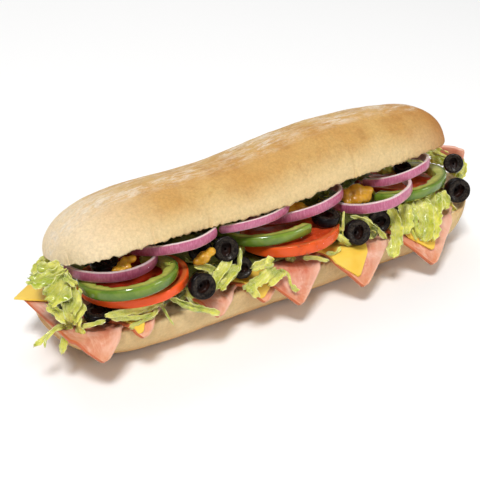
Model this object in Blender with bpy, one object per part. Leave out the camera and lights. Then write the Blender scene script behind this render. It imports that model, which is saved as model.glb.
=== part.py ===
"""Submarine sandwich: a footlong soft roll, cut lengthwise, filled with folded ham, sliced
cheese, shredded lettuce, tomato, green pepper, red onion, black olive rings and mustard.

Sizes are in millimetres until a mesh is made. +X runs along the roll, -Y is the open
side where the filling shows, +Z is up and the roll stands on z = 0.
"""

import math

import bmesh
import bpy
import numpy as np
from mathutils import Vector

MM = 0.001
GAP = 0.35                    # clearance between pieces that rest on each other

# The roll
ROLL_LENGTH = 300.0
ROLL_WIDTH = 79.0
BASE_HEIGHT = 26.0            # table to the cut face of the lower half
LIP_START = 122.0             # the lower half curls up past here, at its right end
LIP_LENGTH = 26.0
LIP_HEIGHT = 11.0
CROWN_LENGTH = 277.0
CROWN_WIDTH = 67.0
CROWN_HEIGHT = 29.5
CROWN_CENTRE = (-4.8, 0.1, 62.9)
CROWN_TILT = 11.8             # degrees, front edge raised
CROWN_SLOPE = 1.6             # degrees, right end raised
CROWN_BOW = 2.0
CROWN_BOW_LENGTH = 150.0

# The filling is laid out as flat layers, then pressed thinner towards the closed side.
PRESS_START = -36.0
PRESS_RATE = 0.0052           # share of the height lost for each mm towards the back
OPEN_HEIGHT = 44.4            # free height between the halves at the open side

# Ham and cheese hang over this edge of the lower half.
EDGE_Y = -38.5
EDGE_RADIUS = 4.0
EDGE_ANGLE = math.radians(52)
CARD_LEAN = 0.055             # each slice rises this much for each mm to the left
HAM_THICK = 1.5
CHEESE_THICK = 1.7

BREAD = ((0.80, 0.60, 0.33), 0.75)
HAM = ((0.84, 0.45, 0.38), 0.40)
CHEESE = ((0.95, 0.67, 0.12), 0.40)
TOMATO = ((0.80, 0.13, 0.05), 0.25)
PEPPER = ((0.14, 0.33, 0.05), 0.25)
ONION = ((0.62, 0.24, 0.42), 0.30)
OLIVE = ((0.020, 0.016, 0.018), 0.30)
MUSTARD = ((0.85, 0.50, 0.05), 0.30)
LETTUCE = ((0.52, 0.60, 0.14), 0.45)


# ---------------------------------------------------------------- common tools

def clear_scene():
    for thing in list(bpy.data.objects):
        bpy.data.objects.remove(thing)


def finish(name, colour, roughness):
    """A plain material in the colour of the piece."""
    material = bpy.data.materials.new(name)
    material.use_nodes = True
    shader = material.node_tree.nodes["Principled BSDF"]
    shader.inputs["Base Color"].default_value = (*colour, 1.0)
    shader.inputs["Roughness"].default_value = roughness
    return material


def add_piece(name, points, faces, look, crease=35.0):
    """One closed solid from points in millimetres."""
    shape = bmesh.new()
    corners = [shape.verts.new([value * MM for value in point]) for point in points]
    for face in faces:
        shape.faces.new([corners[index] for index in face])
    bmesh.ops.remove_doubles(shape, verts=shape.verts, dist=1e-6)
    bmesh.ops.recalc_face_normals(shape, faces=shape.faces)
    bmesh.ops.triangulate(shape, faces=shape.faces)
    mesh = bpy.data.meshes.new(name)
    shape.to_mesh(mesh)
    shape.free()
    mesh.shade_smooth()
    mesh.set_sharp_from_angle(angle=math.radians(crease))
    mesh.materials.append(finish(name, *look))
    piece = bpy.data.objects.new(name, mesh)
    bpy.context.collection.objects.link(piece)
    return piece


def ease(value):
    """Smooth step from 0 to 1."""
    value = min(max(value, 0.0), 1.0)
    return value * value * (3 - 2 * value)


def floor_height(x):
    """The cut face of the lower half, which curls up at its right end."""
    return BASE_HEIGHT + LIP_HEIGHT * ease((x - LIP_START) / LIP_LENGTH)


def press(x, y, z):
    """A point of the flat layout, moved to where the tilted crown presses it."""
    if z <= BASE_HEIGHT:
        return (x, y, z)
    keep = 1 - PRESS_RATE * max(y - PRESS_START, -12.0)
    return (x, y, BASE_HEIGHT + (z - BASE_HEIGHT) * keep)


def unpress(y, z):
    """The layout height of a real height."""
    keep = 1 - PRESS_RATE * max(y - PRESS_START, -12.0)
    return BASE_HEIGHT + (z - BASE_HEIGHT) / keep


def roof_height(x):
    """The cut face of the crown, as a height of the flat layout."""
    slope = math.tan(math.radians(CROWN_SLOPE))
    return BASE_HEIGHT + OPEN_HEIGHT + slope * (x - CROWN_CENTRE[0]) + rim_wave(x)


def tube_faces(rings, count, closed):
    """Quads between successive rings of count points; closed joins the last to the first."""
    faces = []
    for ring in range(rings if closed else rings - 1):
        for step in range(count):
            here = ring * count
            there = ((ring + 1) % rings) * count
            after = (step + 1) % count
            faces.append((here + step, here + after, there + after, there + step))
    return faces


# ---------------------------------------------------------------- bread

def rim_wave(x):
    """The cut edge of the crown bows up near the left end and down past it."""
    fade = ease((x + 150) / 30) * (1 - ease((x - 20) / 50))
    return CROWN_BOW * math.cos(2 * math.pi * (x + 90) / CROWN_BOW_LENGTH) * fade


def loaf_half(length, width, height, blunt, square, fill, swell, waist, is_base):
    """Half a roll with its cut face at z = 0 and the crust on the upper side, or for
    the base below. blunt squares the ends in plan, square fills the section out and
    fill is how full the left and right ends are in height."""
    stations = 28
    crust = 15
    inner = 4
    count = crust + inner
    points = []
    for station in range(1, stations):
        u = math.sin((station / stations - 0.5) * math.pi)
        wide = (1 - abs(u) ** blunt) ** (1 / 2.2)
        wide *= 1 + waist[0] * u + waist[1] * math.cos(2 * math.pi * u)
        wide *= 1 + waist[2] * math.sin(2 * math.pi * u)
        tall = (1 - abs(u) ** (blunt * fill[u > 0])) ** 0.5
        tall *= 1 + swell[0] * u + swell[1] * math.cos(2 * math.pi * u)
        tall *= 1 + swell[2] * math.sin(2 * math.pi * u)
        x = u * length / 2
        lift = floor_height(x) - BASE_HEIGHT if is_base else 0.0
        depth = height + lift
        for step in range(crust):
            turn = math.pi * step / (crust - 1)
            y = -math.copysign(abs(math.cos(turn)) ** square, math.cos(turn))
            rise = abs(math.sin(turn)) ** square * tall
            if is_base:
                z = lift - min(depth * rise * 1.05, depth)
            else:
                z = depth * rise + rim_wave(x) * (1 - rise)
            points.append((x, y * wide * width / 2, z))
        for step in range(1, inner + 1):
            share = 1 - 2 * step / (inner + 1)
            z = lift if is_base else rim_wave(x)
            points.append((x, share * wide * width / 2, z))
    faces = tube_faces(stations - 1, count, False)
    for end, ring in ((-1, 0), (1, stations - 2)):
        x = end * length / 2
        lift = floor_height(x) - BASE_HEIGHT if is_base else 0.0
        tip = len(points)
        points.append((x, 0.0, lift))
        for step in range(count):
            faces.append((ring * count + step, ring * count + (step + 1) % count, tip))
    return points, faces


def tilt_point(point, tilt, slope, centre):
    """Turn about X, then about Y, and move to the centre."""
    x, y, z = point
    a = math.radians(tilt)
    b = math.radians(slope)
    y, z = y * math.cos(a) - z * math.sin(a), y * math.sin(a) + z * math.cos(a)
    x, z = x * math.cos(b) - z * math.sin(b), x * math.sin(b) + z * math.cos(b)
    return (x + centre[0], y + centre[1], z + centre[2])


def add_bread():
    points, faces = loaf_half(
        ROLL_LENGTH, ROLL_WIDTH, BASE_HEIGHT, 10.0, 0.78, (0.62, 0.85),
        (0.0, 0.0, 0.0), (0.0, 0.0, 0.0), True)
    points = [(x, y, z + BASE_HEIGHT) for x, y, z in points]
    add_piece("bread_bottom", points, faces, BREAD)
    points, faces = loaf_half(
        CROWN_LENGTH, CROWN_WIDTH, CROWN_HEIGHT, 7.3, 0.87, (1.0, 0.75),
        (0.20, 0.0, 0.05), (-0.085, 0.014, 0.012), False)
    points = [tilt_point(point, -CROWN_TILT, CROWN_SLOPE, CROWN_CENTRE) for point in points]
    add_piece("bread_top", points, faces, BREAD)


# ---------------------------------------------------------------- ham and cheese

def hang(x, reach, rise):
    """A point that lies on the lower half: reach is measured outwards from where the
    slice starts to bend over the edge, rise is the height above the bread."""
    turn = min(max(reach / EDGE_RADIUS, 0.0), EDGE_ANGLE)
    radius = EDGE_RADIUS + rise
    y = EDGE_Y - min(reach, 0.0) - radius * math.sin(turn)
    z = BASE_HEIGHT + GAP - EDGE_RADIUS + radius * math.cos(turn)
    beyond = reach - EDGE_RADIUS * EDGE_ANGLE
    if beyond > 0:
        y -= beyond * math.cos(EDGE_ANGLE)
        z -= beyond * math.sin(EDGE_ANGLE)
    z += floor_height(x) - BASE_HEIGHT
    return press(x, y, z)


class Card:
    """A square-cornered slice. Its corner points out over the edge: one side runs back
    to the right at the angle turn from straight back, the other back to the left."""

    def __init__(self, corner, turn, right, left, lean_from, thick, stop=-1e9, bulge=0.0):
        self.corner = corner
        self.turn = math.radians(turn)
        self.right = right
        self.left = left
        self.lean_from = lean_from
        self.thick = thick
        self.stop = stop
        self.bulge = bulge
        x, reach = corner
        a = self.turn
        right_way = (math.sin(a), -math.cos(a))
        left_way = (-math.cos(a), -math.sin(a))
        self.right_end = (x + right * right_way[0], reach + right * right_way[1])
        self.left_end = (x + left * left_way[0], reach + left * left_way[1])
        self.back = (self.right_end[0] + left * left_way[0],
                     self.right_end[1] + left * left_way[1])

    def span(self, reach):
        """The left and right ends of the slice at this reach, or None."""
        if not self.back[1] <= reach <= self.corner[1]:
            return None
        if reach >= self.left_end[1]:
            left = cross(self.corner, self.left_end, reach)
        else:
            left = cross(self.left_end, self.back, reach)
        if reach >= self.right_end[1]:
            right = cross(self.corner, self.right_end, reach)
        else:
            right = cross(self.right_end, self.back, reach)
        left = max(left, self.stop)
        return (left, right) if right > left else None

    def rise(self, x):
        return CARD_LEAN * max(self.lean_from - x, 0.0)

    def top(self, x):
        return self.rise(x) + self.thick + self.bulge


def cross(start, end, reach):
    """Where the line from start to end meets this reach."""
    if abs(end[1] - start[1]) < 1e-9:
        return end[0]
    share = (reach - start[1]) / (end[1] - start[1])
    return start[0] + share * (end[0] - start[0])


def add_card(name, card, look):
    """The slice as rows across it, from its corner to its back."""
    bend = EDGE_RADIUS * EDGE_ANGLE
    reaches = [card.corner[1] - 0.8, card.left_end[1], card.right_end[1], card.back[1] + 0.8]
    reaches += [bend, bend * 0.5, 0.0]
    if card.corner[1] > bend + 6:
        reaches.append((card.corner[1] + bend) / 2)
    low = card.back[1] + 0.8
    high = card.corner[1] - 0.8
    reaches = sorted({round(r, 3) for r in reaches if low <= r <= high}, reverse=True)
    kept = [reaches[0]]
    for reach in reaches[1:]:
        if kept[-1] - reach > 0.9:
            kept.append(reach)
    rows = [(reach, card.span(reach)) for reach in kept if card.span(reach)]
    shares = (0.0, 0.5, 0.86, 1.0)
    fat = (0.0, 0.0, 1.0, 0.55)
    points = []
    for reach, (left, right) in rows:
        ring = []
        for share in shares:
            x = left + (right - left) * share
            ring.append(hang(x, reach, card.rise(x)))
        for share, extra in reversed(list(zip(shares, fat))):
            x = left + (right - left) * share
            full = min((right - left) / 12, 1.0)
            ring.append(hang(x, reach, card.rise(x) + card.thick + card.bulge * extra * full))
        points.extend(ring)
    count = 2 * len(shares)
    faces = tube_faces(len(rows), count, False)
    for start in (0, (len(rows) - 1) * count):
        for step in range(len(shares) - 1):
            faces.append((start + step, start + step + 1,
                          start + count - 2 - step, start + count - 1 - step))
    add_piece(name, points, faces, look)


# corner (x, reach), turn, right side, left side, leans up from
HAM_CARDS = (
    ((-140, 13), 50, 55, 66, -98, -152),
    ((-115, 8), 53, 40, 30, -65, None),
    ((-69, 11), 55, 45, 16, -28, None),
    ((-38, 12), 52, 42, 26, 5, None),
    ((-19, 20), 52, 52, 24, 75, None),
    ((28, 23), 54, 58, 44, 108, None),
    ((84, 25), 51, 60, 34, 141, None),
)
CHEESE_CARDS = (
    ((-117, 5), 58, 34, 22, -32),
    ((-40, 9), 55, 30, 35, 38),
    ((26, 16), 45, 44, 44, 141),
    ((87, 16), 40, 44, 32, 174),
)


def make_cards():
    ham = []
    for corner, turn, right, left, lean_from, stop in HAM_CARDS:
        limit = -1e9 if stop is None else stop
        ham.append(Card(corner, turn, right, left, lean_from, HAM_THICK, limit, 0.25))
    cheese = []
    for corner, turn, right, left, lean_from in CHEESE_CARDS:
        cheese.append(Card(corner, turn, right, left, lean_from, CHEESE_THICK))
    return ham, cheese


# The cheese at the left end points along the roll: its four corners (x, y) in order.
END_CHEESE = ((-158, 19), (-136, -1), (-119, 13), (-141, 33))
END_CHEESE_LEAN = -60.0


def add_end_cheese():
    points = []
    for layer in (0.0, CHEESE_THICK):
        for x, y in END_CHEESE:
            rise = CARD_LEAN * (END_CHEESE_LEAN - x)
            points.append(hang(x, EDGE_Y - y, rise + layer))
    faces = [(0, 1, 2, 3), (4, 5, 6, 7)]
    for step in range(4):
        after = (step + 1) % 4
        faces.append((step, after, after + 4, step + 4))
    add_piece("cheese_1", points, faces, CHEESE)


# The ham at the right end is folded and stands on edge, with its fold up.
END_HAM_START = (140.5, 5.0)
END_HAM_END = (153.5, -11.5)
END_HAM_LOW = 50.5
END_HAM_HIGH = 57.5


def add_end_ham():
    run = Vector(END_HAM_END) - Vector(END_HAM_START)
    side = Vector((-run.y, run.x)).normalized()
    points = []
    stations = 5
    for station in range(stations):
        share = station / (stations - 1)
        bow = math.sin(math.pi * share) * 1.2
        middle = Vector(END_HAM_START) + run * share + side * bow
        drop = 1.6 * share ** 3
        for offset, z in ((-1.4, END_HAM_LOW), (-1.8, END_HAM_HIGH - 2), (-0.8, END_HAM_HIGH),
                          (0.8, END_HAM_HIGH), (1.8, END_HAM_HIGH - 2), (1.4, END_HAM_LOW)):
            place = middle + side * offset
            points.append((place.x, place.y, z - drop))
    faces = tube_faces(stations, 6, False)
    faces.append(tuple(range(6)))
    faces.append(tuple(range((stations - 1) * 6, stations * 6)))
    add_piece("ham_8", points, faces, HAM)


# ---------------------------------------------------------------- slices and rings

class Slice:
    """A disc or band of the flat layout: centre (x, y, z), radius, height, the tilt
    about X and Y in degrees, how oval it is and which way, and the lobes of its edge."""

    def __init__(self, centre, radius, height, tilt, lean, oval, way,
                 wall=0.0, start=0.0, sweep=360.0, lobes=0.0):
        self.centre = centre
        self.radius = radius
        self.height = height
        self.tilt = tilt
        self.lean = lean
        self.oval = oval
        self.way = way
        self.wall = wall
        self.start = start
        self.sweep = sweep
        self.lobes = lobes

    def place(self, turn, inset, rise):
        """A point at this angle, in from the edge, above the middle plane."""
        radius = self.radius * (1 + self.lobes * math.cos(3 * turn + 1.1)) - inset
        x = radius * math.cos(turn) * (1 + self.oval)
        y = radius * math.sin(turn) * (1 - self.oval)
        c = math.cos(self.way)
        s = math.sin(self.way)
        point = (x * c - y * s, x * s + y * c, rise)
        return press(*tilt_point(point, self.tilt, self.lean, self.centre))

    def covers(self, x, y, margin):
        """True where the disc, or the whole round of the band, is above (x, y)."""
        reach = self.radius * (1 + abs(self.oval) + self.lobes) + margin
        return math.hypot(x - self.centre[0], y - self.centre[1]) < reach

    def underside(self, x, y):
        """The lowest layout height near (x, y)."""
        drop = math.tan(math.radians(self.lean)) * (x - self.centre[0])
        drop += math.tan(math.radians(self.tilt)) * (y - self.centre[1])
        return self.centre[2] + drop - self.height / 2


TOMATOES = (
    Slice((-103.0, -15.7, 44.4), 30.9, 5.4, 0.7, 2.0, -0.020, -0.04),
    Slice((-0.4, -21.0, 43.8), 29.9, 6.2, -2.5, 1.6, 0.030, 0.37),
    Slice((110.0, 4.5, 45.2), 29.5, 5.4, 0.0, 0.0, 0.0, 0.0),
)
PEPPERS = (
    Slice((-110.2, -22.7, 51.2), 27.4, 6.0, -1.6, 1.8, -0.023, 0.13, 5.5, 130, 265, 0.02),
    Slice((-10.6, -11.0, 51.3), 32.4, 6.0, -1.2, 0.6, 0.020, 0.0, 5.5, 130, 165, 0.02),
    Slice((93.0, -12.5, 52.2), 31.0, 6.2, 0.0, 2.5, 0.060, 0.22, 6.5, 185, 245, 0.02),
)
ONIONS = (
    Slice((-111.1, -5.7, 58.5), 27.9, 5.8, 2.5, -1.0, -0.080, -0.24, 1.9, 155, 225),
    Slice((-75.1, -9.5, 63.9), 28.2, 5.6, -1.8, 3.1, -0.038, -0.14, 1.9, 165, 153),
    Slice((-30.2, -9.4, 63.6), 29.2, 4.8, -2.6, 1.9, 0.061, -0.11, 1.9, 225, 150),
    Slice((11.0, -6.8, 59.3), 30.1, 6.0, -3.4, 6.5, 0.053, -0.23, 1.9, 170, 205),
    Slice((60.8, -20.8, 55.6), 27.2, 6.0, -2.1, 8.0, -0.050, -0.49, 2.2, 190, 190),
    Slice((85.9, -13.2, 64.0), 24.6, 5.6, -5.0, 8.0, 0.070, 0.49, 2.2, 150, 230),
)


def add_disc(name, piece, look):
    """A slice with a rounded skin edge."""
    steps = 26
    half = piece.height / 2
    ring = ((1.5, half), (0.2, half * 0.55), (0.2, -half * 0.55), (1.5, -half))
    points = []
    for step in range(steps):
        turn = 2 * math.pi * step / steps
        for inset, rise in ring:
            points.append(piece.place(turn, inset, rise))
    count = len(ring)
    faces = []
    for step in range(steps):
        after = (step + 1) % steps
        for level in range(count - 1):
            faces.append((step * count + level, after * count + level,
                          after * count + level + 1, step * count + level + 1))
    for level, rise in ((0, half), (count - 1, -half)):
        hub = len(points)
        points.append(piece.place(0.0, piece.radius * (1 + piece.lobes * math.cos(1.1)), rise))
        for step in range(steps):
            after = (step + 1) % steps
            faces.append((step * count + level, after * count + level, hub))
    add_piece(name, points, faces, look)


def add_band(name, piece, look, round_edge):
    """A curved strip of rectangular section with softened outer edges, open at the back."""
    steps = max(10, int(piece.sweep / 14))
    half = piece.height / 2
    wall = piece.wall
    if round_edge:
        ring = ((wall * 0.25, half), (0.0, half * 0.5), (0.0, -half * 0.5),
                (wall * 0.25, -half), (wall, -half * 0.85), (wall, half * 0.85))
    else:
        ring = ((0.0, half), (0.0, -half), (wall, -half), (wall, half))
    points = []
    for step in range(steps + 1):
        turn = math.radians(piece.start + piece.sweep * step / steps)
        for inset, rise in ring:
            points.append(piece.place(turn, inset, rise))
    count = len(ring)
    faces = tube_faces(steps + 1, count, False)
    faces.append(tuple(range(count)))
    faces.append(tuple(range(steps * count, (steps + 1) * count)))
    add_piece(name, points, faces, look)


# ---------------------------------------------------------------- olives

# centre, radius, height, the way the ring faces
OLIVES = (
    ((-131.5, -28.6, 36.1), 7.6, 4.6, (0.05, -0.10, 1.0)),
    ((-116.5, -9.5, 53.4), 7.8, 5.0, (0.1, -0.25, 1.0)),
    ((-54.0, -33.5, 53.0), 7.2, 6.0, (-0.38, -0.80, 0.45)),
    ((-78.4, -46.8, 43.9), 7.5, 5.6, (-0.15, -0.85, 0.30)),
    ((-46.5, -37.5, 41.0), 6.4, 5.6, (-0.30, -0.85, 0.40)),
    ((17.5, -32.5, 52.2), 8.4, 5.0, (0.03, -0.08, 1.0)),
    ((33.5, -42.5, 41.8), 7.9, 6.4, (-0.28, -0.85, 0.45)),
    ((57.5, -35.2, 39.6), 7.0, 5.6, (-0.50, -0.75, 0.35)),
    ((104.0, -4.5, 52.4), 6.0, 4.0, (-0.1, -0.2, 1.0)),
    ((140.0, -14.8, 50.6), 6.6, 5.4, (-0.62, -0.60, 0.45)),
    ((127.6, -31.6, 40.8), 8.1, 7.2, (-0.35, -0.85, 0.25)),
    ((-63.0, -21.5, 50.0), 6.8, 5.2, (-0.45, -0.75, 0.40)),
)
OLIVE_HOLE = 0.34             # share of the radius


def frame_of(axis):
    """Two directions across an axis."""
    axis = Vector(axis).normalized()
    across = axis.cross(Vector((0, 0, 1)))
    if across.length < 0.3:
        across = axis.cross(Vector((0, 1, 0)))
    across.normalize()
    return axis, across, axis.cross(across)


def add_olive(name, centre, radius, height, way):
    """A cross-cut olive: a barrel-sided ring with a round hole."""
    axis, across, up = frame_of(way)
    half = height / 2
    hole = radius * OLIVE_HOLE
    ring = ((radius * 0.93, half), (radius, 0.0), (radius * 0.93, -half),
            (hole, -half * 0.9), (hole, half * 0.9))
    steps = 14
    points = []
    for step in range(steps):
        turn = 2 * math.pi * step / steps
        spoke = across * math.cos(turn) + up * math.sin(turn)
        for out, rise in ring:
            points.append(Vector(centre) + spoke * out + axis * rise)
    add_piece(name, points, tube_faces(steps, len(ring), True), OLIVE)


# ---------------------------------------------------------------- soft lumps

def lump(name, centre, radii, look, tail=(0, 0, 1), tail_length=0.0, rough=0.12, seed=0.0,
         flat_below=None, detail=2):
    """An uneven round lump, with an optional tail drawn out one way."""
    shape = bmesh.new()
    bmesh.ops.create_icosphere(shape, subdivisions=detail, radius=1.0)
    way = Vector(tail).normalized()
    points = []
    for corner in shape.verts:
        d = corner.co.normalized()
        wave = math.sin(4.1 * d.x + 2.3 * d.z + seed) * math.cos(3.7 * d.y - 1.9 * d.z + 2 * seed)
        size = 1 + rough * wave
        point = Vector((d.x * radii[0], d.y * radii[1], d.z * radii[2])) * size
        point += way * tail_length * max(d.dot(way), 0.0) ** 5
        point += Vector(centre)
        if flat_below is not None:
            point.z = max(point.z, flat_below)
        points.append(point)
    shape.verts.ensure_lookup_table()
    faces = [tuple(vert.index for vert in face.verts) for face in shape.faces]
    shape.free()
    return add_piece(name, points, faces, look, 60.0)


MUSTARDS = (
    ((-115.0, -24.5, 57.9), (7.0, 4.4, 3.9), 0.4),
    ((-68.5, -34.5, 53.0), (6.0, 3.6, 4.8), 1.3),
    ((4.5, -20.0, 54.6), (8.0, 6.0, 5.6), 2.2),
    ((50.5, -21.5, 53.6), (10.0, 7.6, 6.0), 3.1),
)


def add_mustard():
    for number, (centre, radii, seed) in enumerate(MUSTARDS, 1):
        lump(f"mustard_{number}", centre, radii, MUSTARD, seed=seed, rough=0.10)


# ---------------------------------------------------------------- lettuce

def add_curtain(name, left, right, path, thick, wave, seed):
    """A leaf that hangs as a wavy sheet: path is its (y, z) line from top to bottom."""
    columns = 5
    rows = len(path)
    points = []
    for row in range(rows):
        y, z = path[row]
        share = row / (rows - 1)
        narrow = 0.10 * math.sin(seed + 5 * share) + 0.12 * share
        ring = []
        for side in (0, 1):
            order = range(columns) if side == 0 else reversed(range(columns))
            for column in order:
                across = column / (columns - 1)
                pull = (across - 0.5) * (1 - narrow) + 0.5
                x = left + (right - left) * pull
                ripple = wave * math.sin(2 * math.pi * 1.5 * across + seed + 2.2 * share)
                ragged = 1.6 * math.sin(7 * across + seed) * share
                ring.append((x, y - ripple - (thick if side else 0.0), z + ragged))
        points.extend(ring)
    count = 2 * columns
    faces = tube_faces(rows, count, False)
    for start in (0, (rows - 1) * count):
        for step in range(columns - 1):
            faces.append((start + step, start + step + 1,
                          start + count - 2 - step, start + count - 1 - step))
    add_piece(name, points, faces, LETTUCE, 60.0)


# left, right, (y, z) from top to bottom, thickness, wave, seed
CURTAINS = (
    (-97, -71, ((-45.5, 35.0), (-47.8, 31.5), (-50.3, 27.5)), 2.2, 0.8, 0.3),
    (-46, -20, ((-46.0, 38.5), (-49.2, 34.0), (-53.2, 28.0)), 2.4, 1.0, 1.2),
    (62, 76, ((-38.5, 46.5), (-43.0, 39.5), (-47.6, 32.5), (-50.6, 26.0)), 2.4, 0.9, 2.4),
    (82, 103, ((-38.8, 46.0), (-43.0, 39.0), (-48.6, 31.5), (-52.5, 24.5)), 2.4, 1.2, 3.6),
    (-161.5, -151.4, ((-22.0, 33.0), (-25.5, 30.0), (-29.5, 24.5), (-32.5, 18.5)), 2.2, 0.8, 5.0),
)


def bed_front(x):
    """How far the shredded lettuce comes out towards the open side."""
    front = -36.5 + 1.2 * math.sin(0.21 * x) + 0.8 * math.sin(0.47 * x + 1)
    for middle, half, depth in ((-54, 26, 20.0), (50, 22, 15.0), (-132, 14, 20.0),
                                (128, 26, 19.0)):
        front += depth * ease(1.6 * (1 - abs(x - middle) / half))
    return front


def card_top(cards, x, y, margin):
    """The highest slice of ham or cheese around (x, y)."""
    top = 0.0
    steps = (-margin, -margin / 2, 0.0, margin / 2, margin)
    for dx in steps:
        for dy in steps:
            reach = EDGE_Y - (y + dy)
            for card in cards:
                span = card.span(min(reach, card.corner[1]))
                if span and span[0] <= x + dx <= span[1]:
                    top = max(top, card.top(x + dx))
            corner_x = [corner[0] for corner in END_CHEESE]
            corner_y = [corner[1] for corner in END_CHEESE]
            if x + dx < max(corner_x) and min(corner_y) < y + dy < max(corner_y):
                top = max(top, CARD_LEAN * (END_CHEESE_LEAN - x) + CHEESE_THICK + 0.3)
    return top


def bed_bounds(cards, solids, x, y):
    """The layout heights between which the lettuce lies at (x, y)."""
    low = floor_height(x) + 3 * GAP + card_top(cards, x, y, 10.0)
    high = roof_height(x) - 1.4
    for piece in solids:
        if piece.covers(x, y, 10.0):
            shade = min(piece.underside(x + dx, y + dy)
                        for dx in (-10, 0, 10) for dy in (-10, 0, 10))
            high = min(high, shade - 0.9)
    for centre, radii, _ in MUSTARDS:
        if math.hypot(x - centre[0], y - centre[1]) < max(radii) + 11:
            high = min(high, unpress(y, centre[2] - radii[2] * 1.12 - 0.5))
    for centre, radius, height, way in OLIVES:
        if math.hypot(x - centre[0], y - centre[1]) < radius + 11:
            tall = abs(Vector(way).normalized().z)
            depth = height / 2 * tall + radius * math.sqrt(1 - tall * tall)
            high = min(high, unpress(y, centre[2] - depth - 0.5))
    return low, high


def add_bed(cards):
    """Shredded lettuce that runs through the roll, as one solid out to its outline."""
    columns = 30
    rows = 8
    start = -124.0
    end = 122.0
    solids = TOMATOES + PEPPERS + ONIONS
    points = []
    for column in range(columns):
        x = start + (end - start) * column / (columns - 1)
        front = bed_front(x)
        back = 32.0 + 1.0 * math.sin(0.3 * x)
        lows = []
        highs = []
        for row in range(rows):
            y = front + (back - front) * row / (rows - 1)
            low, high = bed_bounds(cards, solids, x, y)
            high = max(high - 0.6 - 0.6 * math.sin(1.7 * column + 2.3 * row), low + 0.8)
            lows.append(press(x, y, low))
            highs.append(press(x, y, high))
        points.extend(lows)
        points.extend(reversed(highs))
    count = 2 * rows
    faces = tube_faces(columns, count, False)
    for ring in (0, (columns - 1) * count):
        for step in range(rows - 1):
            faces.append((ring + step, ring + step + 1,
                          ring + count - 2 - step, ring + count - 1 - step))
    add_piece("lettuce_bed", points, faces, LETTUCE, 60.0)


def add_lettuce(cards):
    add_bed(cards)
    lump("lettuce_1", (-146.5, -18.6, 44.8), (8.6, 11.3, 11.0), LETTUCE,
         tail=(-0.72, 0.05, -0.69), tail_length=6.5, rough=0.20, seed=0.7)
    lump("lettuce_2", (-58.0, -30.5, 39.4), (8.0, 3.2, 5.8), LETTUCE, seed=1.9)
    lump("lettuce_3", (46.5, -43.5, 39.6), (4.2, 2.4, 6.0), LETTUCE, seed=2.7)
    lump("lettuce_4", (148.6, -8.0, 43.6), (6.6, 6.4, 5.0), LETTUCE, seed=3.3)
    lump("lettuce_5", (-144.5, 3.0, 47.2), (9.0, 8.4, 7.4), LETTUCE,
         tail=(-0.9, -0.1, 0.5), tail_length=3.0, rough=0.22, seed=4.4)
    lump("lettuce_6", (131.0, -17.5, 37.2), (6.5, 6.0, 3.8), LETTUCE, seed=5.1)
    for number, (left, right, path, thick, wave, seed) in enumerate(CURTAINS, 7):
        add_curtain(f"lettuce_{number}", left, right, path, thick, wave, seed)


# ---------------------------------------------------------------- the sandwich

def centre_on_origin():
    """Move every piece so that the middle of the whole box stands on the origin."""
    pieces = [thing for thing in bpy.data.objects if thing.type == "MESH"]
    corners = np.array([corner.co[:] for piece in pieces for corner in piece.data.vertices])
    low = corners.min(axis=0)
    high = corners.max(axis=0)
    shift = Vector((-(low[0] + high[0]) / 2, -(low[1] + high[1]) / 2, 0.0))
    for piece in pieces:
        for corner in piece.data.vertices:
            corner.co += shift


def main():
    clear_scene()
    add_bread()
    ham, cheese = make_cards()
    for number, card in enumerate(ham, 1):
        add_card(f"ham_{number}", card, HAM)
    add_end_ham()
    add_end_cheese()
    for number, card in enumerate(cheese, 2):
        add_card(f"cheese_{number}", card, CHEESE)
    for number, piece in enumerate(TOMATOES, 1):
        add_disc(f"tomato_{number}", piece, TOMATO)
    for number, piece in enumerate(PEPPERS, 1):
        add_band(f"pepper_{number}", piece, PEPPER, True)
    for number, piece in enumerate(ONIONS, 1):
        add_band(f"onion_{number}", piece, ONION, False)
    for number, (centre, radius, height, way) in enumerate(OLIVES, 1):
        add_olive(f"olive_{number}", centre, radius, height, way)
    add_mustard()
    add_lettuce(ham + cheese)
    centre_on_origin()


main()
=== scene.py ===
import bpy
import math
import random
from mathutils import Matrix, Vector, noise


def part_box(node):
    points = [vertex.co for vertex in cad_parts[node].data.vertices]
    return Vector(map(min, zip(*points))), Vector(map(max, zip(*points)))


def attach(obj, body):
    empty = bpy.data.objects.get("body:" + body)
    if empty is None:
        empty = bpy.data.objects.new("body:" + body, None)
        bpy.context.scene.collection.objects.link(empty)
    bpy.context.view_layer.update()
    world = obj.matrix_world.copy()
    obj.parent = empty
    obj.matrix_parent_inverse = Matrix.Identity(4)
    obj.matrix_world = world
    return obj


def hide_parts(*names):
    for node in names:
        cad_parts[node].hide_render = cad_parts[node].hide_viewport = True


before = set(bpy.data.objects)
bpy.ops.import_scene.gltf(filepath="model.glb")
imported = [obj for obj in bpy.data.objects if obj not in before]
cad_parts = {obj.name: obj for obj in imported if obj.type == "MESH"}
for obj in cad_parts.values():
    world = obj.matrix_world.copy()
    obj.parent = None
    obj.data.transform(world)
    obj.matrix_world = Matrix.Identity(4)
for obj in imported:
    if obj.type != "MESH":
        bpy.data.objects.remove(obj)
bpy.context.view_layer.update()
print("stage: frame loaded")

# Sizes below are in millimetres, from a point on the table under the middle of the lower half.
mm = 0.001
rollLow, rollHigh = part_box("bread_bottom")
rollX = (rollLow[0] + rollHigh[0]) / 2
rollY = (rollLow[1] + rollHigh[1]) / 2

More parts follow.
